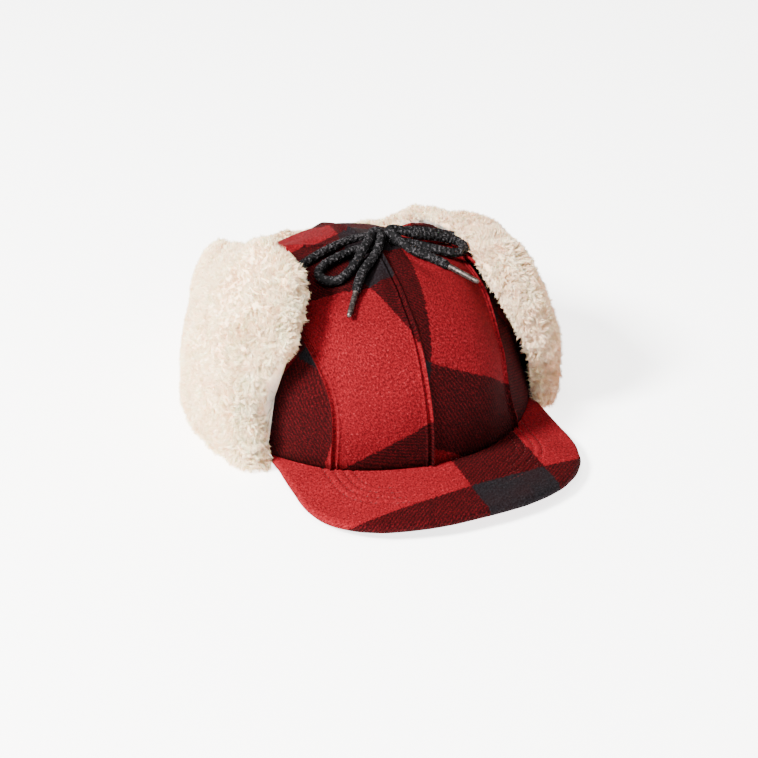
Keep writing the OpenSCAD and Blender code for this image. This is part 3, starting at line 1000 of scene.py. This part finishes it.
def make_stitches(name, runs):
    """Joins runs of stitches into one piece."""
    base = np.cumsum([0] + [len(points) for points, _ in runs])
    points = np.concatenate([points for points, _ in runs])
    faces = np.concatenate([faces + first for (_, faces), first in zip(runs, base)])
    settle(new_mesh(name, points, faces, THREAD), "crown")


# The column of a gore's points that runs in the groove beside a rib
GROOVE = 9


def crown_stitches():
    """Rows of stitching in the grooves beside the ribs."""
    runs = []
    for (kind, side), (first, last) in RIBBED.items():
        outer, normal, _, width = gore_surface(kind, side, GORE_T)
        rows = width > 14
        rows[0] = False
        for column, used in ((GROOVE, first), (outer.shape[1] - 1 - GROOVE, last)):
            if used:
                runs.append(stitch_run(outer[rows, column], normal[rows, column]))
    make_stitches("crown_stitching", runs)


# ---- sweatband ----

SWEATBAND_H = 34.0
# The joint at the back, as an angle from the front
JOINT_FROM, JOINT_TO = 180.2, 539.8


def make_sweatband():
    """A folded cotton band: rounded top edge, pinched joint at the back, stitched at the hem."""
    top = np.arcsin((SWEATBAND_H / CROWN_H) ** 1.3) / (np.pi / 2)
    a = np.linspace(JOINT_FROM, JOINT_TO, 420)
    t = top * np.linspace(0, 1, 26)[:, None] ** 0.9
    middle = crown_at(a[None], t, -5.2)
    joint = bell(np.minimum(a - JOINT_FROM, JOINT_TO - a), 0, 0.8)
    bulge = 0.25 * Waves(41, 30)(middle) + 0.3 * joint[None]
    half = 0.75 * np.sqrt(np.clip(1 - (t / top) ** 16, 0.04, 1))
    inwards = half + bulge * 0.5 - 0.25 * bell(t, top * 0.9, top * 0.02)
    normal = -surface_normals(middle)
    u = arc_lengths(middle, 1)
    uv = np.stack([u, np.broadcast_to(arc_lengths(middle[:, :1], 0), u.shape)], -1)
    band = sheet_shell("cotton_sweatband", middle + normal * half[..., None],
                       middle - normal * inwards[..., None], COTTON, uv, flip=True)
    settle(band, "crown", "sweatband")


# ---- bill ----

BILL_REACH = BILL_Y - BILL_FRONT
ARCH_RADIUS = BILL_HALF_W**2 / (2 * HEM_ARCH)
# The bill's whole depth, the thickness of its covers, and its cloth's place and slant
BILL_DEEP = 5.7
BILL_COVER_T, BILL_UNDER_T = 1.25, 1.2
BILL_CLOTH = (0, -5, -120.7)
BILL_SKEW = 0.1
# How far the rows of stitching lie inside the bill's edge
STITCH_ROWS = (20.0, 24.6, 29.2, 33.8)


def bill_outline(inset, count):
    """Points along the bill's edge, inset millimetres inside it, from the left to the right."""
    u = np.linspace(0, np.pi, 400)
    x = (BILL_HALF_W - inset) * np.sign(np.cos(u)) * np.abs(np.cos(u)) ** (2 / BILL_SQUARE)
    y = BILL_Y - (BILL_REACH - inset) * np.sin(u).clip(0) ** (2 / BILL_SQUARE)
    rear = CROWN_Y - HALF_L * math.cos(math.radians(LOBE_FRONT)) - 1.5
    edge = np.stack([x, y], -1)
    edge = np.concatenate([[[x[0], rear]], edge, [[x[-1], rear]]])
    run = arc_lengths(edge, 0)
    return resampled(np.linspace(0, run[-1], count), run, edge)


def bill_inset(x, y):
    """How far points of the bill are inside its edge, measured as its outline shrinks."""
    low, high = np.zeros_like(x), np.full_like(x, BILL_REACH - 1)
    for _ in range(22):
        mid = (low + high) / 2
        beyond = (np.abs(x) / (BILL_HALF_W - mid)) ** BILL_SQUARE
        beyond = beyond + (np.maximum(BILL_Y - y, 0) / (BILL_REACH - mid)) ** BILL_SQUARE > 1
        high = np.where(beyond, mid, high)
        low = np.where(beyond, low, mid)
    return low


def bill_crest(x):
    return BILL_TOP - x**2 / (2 * ARCH_RADIUS)


def seam_line(count):
    """The line on the crown's hem along which the bill is sewn."""
    a = np.linspace(LOBE_FRONT - 0.6, 0.6 - LOBE_FRONT, count)
    return crown_at(a, 0, -0.4)[:, :2]


BILL_COLUMNS = 300
BILL_ROWS = 52
BILL_SWELL = Waves(51, 45)
BILL_WOBBLE = Waves(52, 14)


def bill_top_height(x, y):
    """Height of the bill's top cover, with a sunken line and two soft ribs at each stitch row."""
    e = bill_inset(x, y)
    corner = 0.12 + 0.88 * smooth(np.abs(x), 14, 46)
    height = bill_crest(x) + 0.35 * BILL_SWELL(np.stack([x, y, 0 * x], -1)) * smooth(e, 0, 12)
    for row in STITCH_ROWS:
        height = height - 0.7 * corner * bell(e, row, 0.5)
        height = height + 0.12 * corner * (bell(e, row - 2.3, 1.5) + bell(e, row + 2.3, 1.5))
    return height


def bill_rim():
    """The bill's edge and its seam with the crown, with the edge's outward direction."""
    rim, seam = bill_outline(0, BILL_COLUMNS), seam_line(BILL_COLUMNS)
    tangent = np.gradient(rim, axis=0)
    outward = unit(np.stack([-tangent[:, 1], tangent[:, 0]], -1))
    outward *= np.sign((outward * (rim - [0, BILL_Y])).sum(1))[:, None]
    return rim, seam, outward


def bill_edge(core, outward, r):
    """The rounded edge of the bill's top cover, and the strip that turns in below it."""
    turn = np.linspace(0, np.pi, 15)[1:, None]
    plan = core[None] + outward[None] * (np.sin(turn) * r[None])[..., None]
    z = bill_crest(core[None, :, 0]) - BILL_DEEP / 2 + np.cos(turn) * BILL_DEEP / 2
    wobble = 0.18 * BILL_WOBBLE(raised(plan, z))
    return raised(plan + outward[None] * (wobble * np.sin(turn))[..., None], z)


def make_bill():
    rim, seam, outward = bill_rim()
    r = np.minimum(BILL_DEEP / 2, np.linalg.norm(rim - seam, axis=1) * 0.4)
    core = rim - outward * r[:, None]
    s = np.linspace(0, 1, BILL_ROWS)[:, None, None]
    plan = seam[None] + (core - seam)[None] * s
    root = np.linalg.norm(plan - seam[None], axis=-1)
    top = raised(plan, bill_top_height(plan[..., 0], plan[..., 1]) - 0.35 * bell(root, 0, 1.6))
    s = np.linspace(0, 0.12, 4)[1:, None, None]
    plan = core[None] + (seam - core)[None] * s
    turn_in = raised(plan, bill_crest(plan[..., 0]) - BILL_DEEP)
    outer = np.concatenate([top, bill_edge(core, outward, r), turn_in])
    normal = surface_normals(outer)
    if normal[5, BILL_COLUMNS // 2, 2] < 0:
        normal = -normal
    inner = outer - normal * BILL_COVER_T
    cover = sheet_shell("wool_bill_top", outer, inner, LIT_BILL_WOOL, bill_cloth_uv(outer))
    settle(cover, "crown", "bill_top_cover")
    make_bill_under(core, seam)
    make_bill_stitches()


def bill_cloth_uv(outer):
    """The bill's cloth runs straight back over its top, and on round its edge."""
    u, v = outer[..., 0], -outer[..., 1]
    wrap = arc_lengths(outer, 0)
    flat = BILL_ROWS - 1
    v[flat:] = v[flat] + (wrap[flat:] - wrap[flat])
    return turned(u, v + BILL_SKEW * u, BILL_CLOTH)


def make_bill_under(core, seam):
    s = np.linspace(0, 1, 40)[:, None, None]
    plan = seam[None] + (core - seam)[None] * (0.985 * s)
    e = bill_inset(plan[..., 0], plan[..., 1])
    z = bill_crest(plan[..., 0]) - BILL_DEEP
    for row in STITCH_ROWS:
        z = z + 0.5 * bell(e, row, 0.7)
    outer = raised(plan, z - 0.45 * smooth(e, 2, 7) + 0.1)
    uv = turned(plan[..., 0], -plan[..., 1], (0, 60, 95))
    inner = outer + [0, 0, BILL_UNDER_T]
    under = sheet_shell("wool_bill_under", outer, inner, WOOL, uv, flip=True)
    settle(under, "crown", "bill_under_cover")


def make_bill_stitches():
    """Rows of stitching along the bill, above and below, where it is outside the crown."""
    runs = []
    for row in STITCH_ROWS:
        line = bill_outline(row, 900)
        along, across = line[:, 1] - CROWN_Y, line[:, 0]
        line = line[(across / (HALF_W - 0.4)) ** 2 + (along / (HALF_L - 0.4)) ** 2 > 1]
        x, y = line.T
        sunk = 0.5 * (1 - smooth(np.abs(x), 14, 40))
        above = bill_top_height(x, y) + 0.02 - sunk
        below = bill_crest(x) - BILL_DEEP - 0.02
        up = np.tile([0, 0, 1.0], (len(line), 1))
        for z, facing in ((above, up), (below, -up)):
            runs.append(stitch_run(raised(line, z), facing, length=2.4, radius=0.22))
    make_stitches("bill_stitching", runs)


# ---- ear flap band ----

# The band's lengths, each from one angle from the front to another
SEGMENTS = {
    "left": (LOBE_FRONT, LOBE_REAR), "rear_left": (LOBE_REAR, REAR_BACK),
    "back": (REAR_BACK, 360 - REAR_BACK), "rear_right": (360 - REAR_BACK, 360 - LOBE_REAR),
    "right": (360 - LOBE_REAR, 360 - LOBE_FRONT),
}
# Plaid direction (degrees) and place (mm) of each length's cloth
BAND_CLOTH = {"left": (12, 55, 0), "rear_left": (12, 60, 60), "back": (0, 40, 90),
              "rear_right": (-12, 30, 40), "right": (-12, 10, 20)}


def seam_spot(segment):
    """Where a length of the band is sewn on, on the floor, in metres."""
    low, high = SEGMENTS[segment]
    spot = crown_at((low + high) / 2, 0, 2)
    return (float(spot[0] * MM), float(spot[1] * MM))


def make_flap_cloth(segment):
    low, high = SEGMENTS[segment]
    low, high = max(low, LOBE_FRONT + 1.5), min(high, 360 - LOBE_FRONT - 1.5)
    a = np.linspace(low, high, 70)
    v = np.linspace(0, 0.985, 54)[:, None]
    middle = band_at(a[None], v, 2.6, 1.0)
    normal = normals_away(middle, CROWN_MIDDLE)
    wave = 0.3 * Waves(61, 30)(middle) * smooth(v, 0.1, 0.4)
    half = 0.85 * np.sqrt(np.clip(1 - v**30, 0.05, 1))
    outer = middle + normal * (wave + half)[..., None]
    inner = middle + normal * (wave - half)[..., None]
    uv = turned(arc_lengths(middle, 1), arc_lengths(middle, 0), BAND_CLOTH[segment])
    cloth = sheet_shell("wool_flap_" + segment, outer, inner, WOOL, uv, flip=True)
    # Painted shade low on the flap cloth near the lobes' front ends, in the gap beside the crown
    mark_painted_shade(cloth, (1 - smooth(v, 0.5, 0.85)) * at_front(a, 3, 15)[None])
    spot = seam_spot(segment)
    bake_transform(cloth)
    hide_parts("flap_cloth_" + segment)


def make_hem_fold():
    """The strip of the band's cloth between the crown's hem and the fold on the rest plane."""
    a = np.linspace(LOBE_FRONT + 3, 360 - LOBE_FRONT - 3, 240)
    v = np.linspace(0, 1, 9)[:, None]
    middle = crown_at(a[None], 0 * v, 0.4 + 1.8 * (1 - v) ** 3)
    middle[..., 2] = 1.0 + HEM_Z * v
    half = 0.5 * normals_away(middle, CROWN_MIDDLE)
    uv = turned(arc_lengths(middle, 1), arc_lengths(middle, 0), (0, 60, 78))
    strip = sheet_shell("wool_hem_fold", middle + half, middle - half, WOOL, uv, flip=True)
    settle(strip, "crown")


# ---- shearling ----

PILE_IN = 4.2
LUMPS = Waves(71, 22, 30)
TUFTS = Waves(72, 8, 40)
FLOW = [Waves(73 + k, 34) for k in range(3)]
# Thinning of the pile where the ear lobes meet the rear lengths, and the lobes' outward lean
WAIST, WAIST_AT, WAIST_WIDTH = 0.62, 116.0, 20.0
LOBE_LEAN = 4.0
# How far, in degrees, a lobe's top corner reaches forwards and its front end is rounded off
CORNER_REACH = 6.0
NOSE = 10.0
# How far the wearer's left and right lobes rise above the CAD's
RISE_LEFT, RISE_RIGHT = 2.0, 15.0


def outwards(psi):
    """1 on the outermost line of the band's cross-section, and -1 on its innermost."""
    return np.cos(2 * np.pi * psi)


def pile_forward(a, v):
    """How far the front of each lobe reaches forwards, in degrees."""
    left = a < 180
    low, high = np.where(left, 0.15, 0.55), np.where(left, 0.6, 0.95)
    forward = np.where(left, 0.0, -1.0) + CORNER_REACH * smooth(v, low, high)
    return forward * at_front(a, 0, 16) * np.sign(180 - a)


def pile_surface(a, psi):
    """The fleece's surface: psi runs once round the band's cross-section."""
    a, psi = np.broadcast_arrays(a, psi)
    c, s = outwards(psi), np.sin(2 * np.pi * psi)
    rear = behind(a)
    power = np.where((c > 0) & (s > 0), 1 / (2.1 - 1.1 * rear), 1 / 3.0)
    across = np.sign(c) * np.abs(c) ** power
    along = np.sign(s) * np.abs(s) ** power
    middle = 0.5 - 0.25 * rear
    v = middle + np.where(s > 0, 1 - middle, middle) * along
    nose = end_share(a)
    waist = 1 - WAIST * bell(from_front(a), WAIST_AT, WAIST_WIDTH)
    thick = (PILE_OUT - 1.8 - PILE_IN) * waist * (0.25 + 0.75 * nose) * (1 - 0.12 * (1 - v))
    off = PILE_IN + thick * (middle + np.where(c > 0, 1 - middle, middle) * across)
    p = band_at(a, 0.004 + (0.985 - 0.05 * (1 - nose)) * v, off, 0.0, pile_forward(a, v))
    lean = LOBE_LEAN * (1 - rear) * v**1.6 * (0.5 + 0.5 * across)
    p = p + unit((p - CROWN_MIDDLE) * [1, 1, 0]) * lean[..., None]
    p[..., 2] += np.where(a < 180, RISE_LEFT, RISE_RIGHT) * bell(from_front(a), 78, 19) * v**4
    return p


def end_share(a):
    """0 at the band's two front ends, 1 inside: rounds off the lobes' front edges."""
    inside = np.clip((from_front(a) - LOBE_FRONT) / NOSE, 0, 1)
    return np.sqrt(np.clip(1 - (1 - inside) ** 2.2, 0, 1))


def ring_normals(p):
    """Outward normals of rings of points that close on themselves."""
    ring = np.concatenate([p[-2:], p, p[:2]])
    return normals_away(ring, ring.mean(axis=0, keepdims=True))[2:-2]


FLEECE_ROWS = 150
FLEECE_COLUMNS_A_DEGREE = 1.9
# Seam between two lengths of the fleece, in degrees from each end
FLEECE_INSET = 0.05


def fleece_surface(a, psi):
    """The fleece's lumpy surface and its normals."""
    p = pile_surface(a[None], psi[:, None])
    edge = edge_share(a[None], psi[:, None])
    outer = smooth(outwards(psi), -0.9, -0.2)[:, None]
    lump = LUMPS(p) * (0.6 + 0.7 * edge) + TUFTS(p) * (0.28 + 0.75 * edge)
    height = lump * smooth(p[..., 2], 1.0, 9.0) * (0.25 + 0.75 * outer)
    p = p + ring_normals(p) * height[..., None]
    normals = ring_normals(p)
    p[..., 2] = np.maximum(p[..., 2], 0.15)
    return p, normals


def make_fleece(segment, seed):
    low, high = SEGMENTS[segment]
    columns = int((high - low) * FLEECE_COLUMNS_A_DEGREE)
    a = np.linspace(low + FLEECE_INSET, high - FLEECE_INSET, columns)
    psi = np.arange(FLEECE_ROWS) / FLEECE_ROWS
    p, normals = fleece_surface(a, psi)
    body = fleece_body(segment, p)
    shade = fleece_painted_shade(p, a[None], psi[:, None]).ravel()
    store_painted_shade(body, np.concatenate([shade, [0.5, 0.5]]))
    settle(body, "flap_" + segment, "shearling_" + segment)
    for locks in fleece_locks(segment, seed, p, normals, a, psi):
        settle(locks, "flap_" + segment)


def fleece_body(segment, p):
    """The fleece's closed surface: its grid, and a fan to a middle point at each end."""
    rows, columns = p.shape[:2]
    ends = [p[:, 0].mean(0), p[:, -1].mean(0)]
    points = np.concatenate([p.reshape(-1, 3), ends])
    faces = grid_faces(rows, columns, wrap_rows=True)
    obj = new_mesh("fleece_" + segment, points, faces, FLEECE)
    bm = bmesh.new()
    bm.from_mesh(obj.data)
    bm.verts.ensure_lookup_table()
    for column, centre, turn in ((0, rows * columns, -1), (columns - 1, rows * columns + 1, 1)):
        for row in range(rows):
            pair = [row * columns + column, (row + 1) % rows * columns + column][::turn]
            bm.faces.new([bm.verts[i] for i in pair + [centre]]).smooth = True
    bmesh.ops.recalc_face_normals(bm, faces=bm.faces)
    bm.to_mesh(obj.data)
    bm.free()
    return obj


# Locks on each length of the fleece, strands in a lock, and the most strands in one mesh
LOCK_COUNT = {"left": 9500, "rear_left": 3800, "back": 4200, "rear_right": 3800, "right": 9500}
STRANDS = 14
STRANDS_PER_MESH = 34000


def lock_roots(rng, p, density, count):
    """Random places on the fleece, by area and density: row, column and point."""
    area = np.cross(np.roll(p, -1, 0)[:, :-1] - p[:, :-1], p[:, 1:] - p[:, :-1])
    weight = np.linalg.norm(area, axis=-1) * density
    flat = rng.choice(weight.size, size=count, p=(weight / weight.sum()).ravel())
    i, j = np.divmod(flat, p.shape[1] - 1)
    fi, fj = rng.random(count)[:, None], rng.random(count)[:, None]
    i2 = (i + 1) % len(p)
    near = p[i, j] * (1 - fi) + p[i2, j] * fi
    far = p[i, j + 1] * (1 - fi) + p[i2, j + 1] * fi
    return i, j, near * (1 - fj) + far * fj


def lock_headings(root, normal, ahead, stray, a, psi):
    """Where locks point: off the fleece, with its flow, and forwards at the lobes' front ends."""
    edge = edge_share(a, psi)
    flow = np.stack([w(root) for w in FLOW], -1)
    flow -= (flow * normal).sum(1)[:, None] * normal
    inner = (at_front(a, 3, 14) * smooth(-outwards(psi), -0.3, 0.4))[:, None]
    rim = rim_share(a)[:, None]
    heading = normal * (1 - 0.7 * inner) + ahead * 0.9 * inner
    heading += ahead * 0.7 * rim
    heading += flow * (0.28 + 0.35 * edge)[:, None] + stray * (1 + 2.2 * rim)
    heading[:, 2] += 0.12 - 0.9 * (1 - smooth(root[:, 2], 0, 10)) * (normal[:, 2] < -0.3)
    return unit(heading)


def fleece_locks(segment, seed, p, n, a, psi):
    """Locks of wool: fine strands that spring from the fleece in clumps and curl to shared tips."""
    rng = np.random.default_rng(seed)
    count = LOCK_COUNT[segment]
    i, j, root = lock_roots(rng, p, lock_density(p[:, :-1], a[None, :-1], psi[:, None]), count)
    a, psi, normal = a[j], psi[i], n[i, j]
    edge = edge_share(a, psi)
    stray = rng.normal(size=root.shape) * (0.13 + 0.17 * edge)[:, None]
    ahead = unit(np.gradient(p, axis=1)[i, j] * np.where(a < 180, -1, 1)[:, None])
    heading = lock_headings(root, normal, ahead, stray, a, psi)
    length = rng.uniform(2.2, 3.3, count) * (1 + 0.7 * edge)
    root = root - normal * 0.9
    shade = fleece_painted_shade(root, a, psi)
    if segment in FRONT_COLUMN:
        tip_root, tip_heading = cap_locks(rng, p, FRONT_COLUMN[segment])
        root = np.concatenate([root, tip_root])
        heading = np.concatenate([heading, tip_heading])
        length = np.concatenate([length, rng.uniform(2.6, 4.2, CAP_LOCKS)])
        shade = np.concatenate([shade, rng.uniform(0.0, 0.5, CAP_LOCKS)])
    lines, widths = strands(rng, root, heading, length)
    shade = np.repeat(shade, STRANDS)
    parts = np.array_split(np.arange(len(lines)), math.ceil(len(lines) / STRANDS_PER_MESH))
    return [strand_mesh("wool_locks_%s_%d" % (segment, k), lines[part], widths[part], shade[part])
            for k, part in enumerate(parts)]


def fleece_painted_shade(p, a, psi):
    """Share of painted shade, in the tan of the wool's roots: on the band's inner side and low on
    one lobe.
    """
    inner = smooth(-outwards(psi) + 0 * a, -0.3, 0.6)
    lobe = 1 - smooth(np.asarray(a, float), LOBE_REAR - 10, LOBE_REAR + 20)
    low = 1 - 0.6 * smooth(p[..., 2], 15, 90)
    return np.maximum(0.5 * inner, 0.62 * lobe * low)


# Which end of a lobe's grid is its front face, and how far to the next column inwards
FRONT_COLUMN = {"left": (0, 1), "right": (-1, -1)}
CAP_LOCKS = 1500


def cap_locks(rng, p, end):
    """Roots and headings of the locks on a lobe's front end face."""
    column, inwards = end
    rows = len(p)
    i = rng.integers(0, rows, CAP_LOCKS)
    across = rng.random(CAP_LOCKS)[:, None]
    root = p[i, column] * (1 - across) + p[(rows // 2 - i) % rows, column] * across
    ahead = unit(p[i, column] - p[i, column + 3 * inwards])
    heading = rng.normal(size=root.shape)
    heading -= (heading * ahead).sum(1)[:, None] * ahead
    return root, unit(unit(heading) + ahead * rng.uniform(0.3, 1.0, CAP_LOCKS)[:, None])


def edge_share(a, psi):
    """1 on the fleece's cut edges, where the locks are long and loose, and 0 on its broad face."""
    top = 1 - smooth(outwards(psi), 0.05, 0.75)
    return np.maximum(at_front(a, 4, 17), 0.7 * top)


def lock_density(p, a, psi):
    """More locks on the outside and the edges; few where the wool meets the flap's cloth."""
    outside = np.maximum(smooth(outwards(psi) + 0 * a, -0.45, 0.1), at_front(a, 3, 14))
    floor = 0.15 + 0.85 * smooth(p[..., 2], 0.5, 3.0)
    return outside * floor * (1 + 0.5 * edge_share(a, psi)) * (1 + 1.0 * rim_share(a))


def rim_share(a):
    """1 at the lobes' front ends, whose flat faces the locks cover."""
    return at_front(a, 1, 6)


# Places along a strand, as shares, and its width there
STRAND_AT = np.array([0, 0.36, 0.7, 1.0])
STRAND_TAPER = np.array([1.0, 0.95, 0.7, 0.15])
STRAND_QUADS = np.array([[0, 1, 3, 2], [2, 3, 5, 4], [4, 5, 7, 6]])


def strands(rng, root, heading, length):
    """Strand centrelines and half widths: four points each, curled towards a lock's tip."""
    each = (len(root), STRANDS)
    s = STRAND_AT[:, None]
    side = unit(np.cross(heading, rng.normal(size=root.shape)))[:, None]
    other = np.cross(heading[:, None], side)
    angle = rng.uniform(0, 2 * np.pi, each)[..., None]
    spread = rng.uniform(0.15, 1.5, each)[..., None]
    spread = spread * (np.cos(angle) * side + np.sin(angle) * other)
    reach = (length[:, None] * rng.uniform(0.75, 1.1, each))[..., None]
    stray = rng.normal(size=spread.shape) * 0.3
    base = root[:, None] + spread
    tip = root[:, None] + heading[:, None] * reach + spread * 0.42 + stray
    bow = side * (length[:, None] * rng.uniform(0.10, 0.34, (len(root), 1)))[..., None]
    line = base[:, :, None] * (1 - s) + tip[:, :, None] * s
    line = line + bow[:, :, None] * (4 * s * (1 - s) * (1.4 - s))
    line[..., 2] = np.maximum(line[..., 2], 0.1)
    width = rng.uniform(0.11, 0.20, each)[..., None] * STRAND_TAPER
    return line.reshape(-1, 4, 3), width.reshape(-1, 4)


def strand_mesh(name, line, width, shade):
    """Flat tapering strands that turn a little along their length, all in one mesh."""
    count = len(line)
    spin = np.random.default_rng(count).normal(size=(count, 1, 3))
    across = unit(np.cross(unit(np.gradient(line, axis=1)), spin)) * width[..., None]
    points = np.stack([line - across, line + across], 2)
    obj = new_mesh(name, points, copies(STRAND_QUADS, count, 8), LOCKS)
    store_painted_shade(obj, np.repeat(shade, 8))
    return obj


# ---- the rest of the scene ----

FLOOR_SIZE = 6000
WORLD_COLOUR, WORLD_STRENGTH = (1.0, 0.93, 0.86, 1), 0.20
# Lights: name, place in metres, side in metres, power in watts and colour
LIGHTS = [("key", (-1.7, -0.35, 1.65), 0.55, 325, (1.0, 0.995, 0.965)),
          ("top", (-0.45, -0.5, 1.7), 0.9, 40, (1.0, 0.96, 0.92))]
LIGHT_AIM = (0, 0, 0.05)


def make_stage():
    m = Nodes("white_floor")
    floor_white = m.set(Base_Color=rgb(0.93, 0.93, 0.93), Roughness=0.9, Specular_IOR_Level=0.1,
                        Emission_Color=rgb(1.0, 1.0, 1.0), Emission_Strength=3.2)
    corners = [(x * FLOOR_SIZE, y * FLOOR_SIZE, 0) for x, y in ((-1, -1), (1, -1), (1, 1), (-1, 1))]
    new_mesh("floor", corners, [[0, 1, 2, 3]], floor_white)


def area_light(name, place, size, power, colour):
    data = bpy.data.lights.new(name, "AREA")
    data.shape = "RECTANGLE"
    data.size, data.size_y = size, size
    data.energy = power
    data.color = colour
    light = bpy.data.objects.new(name, data)
    light.location = place
    light.rotation_euler = (Vector(place) - Vector(LIGHT_AIM)).to_track_quat("Z", "Y").to_euler()
    bpy.context.scene.collection.objects.link(light)


def make_light():
    for light in LIGHTS:
        area_light(*light)
    world = bpy.context.scene.world or bpy.data.worlds.new("world")
    bpy.context.scene.world = world
    world.use_nodes = True
    back = world.node_tree.nodes.get("Background")
    back.inputs["Color"].default_value = WORLD_COLOUR
    back.inputs["Strength"].default_value = WORLD_STRENGTH


for kind, side in CLOTH:
    make_gore(kind, side)
    make_lining(kind, side)
crown_stitches()
make_sweatband()
make_bill()
make_hem_fold()
for number, segment in enumerate(SEGMENTS):
    make_flap_cloth(segment)
    make_fleece(segment, 100 + number)
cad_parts["bill_board"].data.materials.clear()
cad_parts["bill_board"].data.materials.append(BOARD)
make_stage()
make_light()
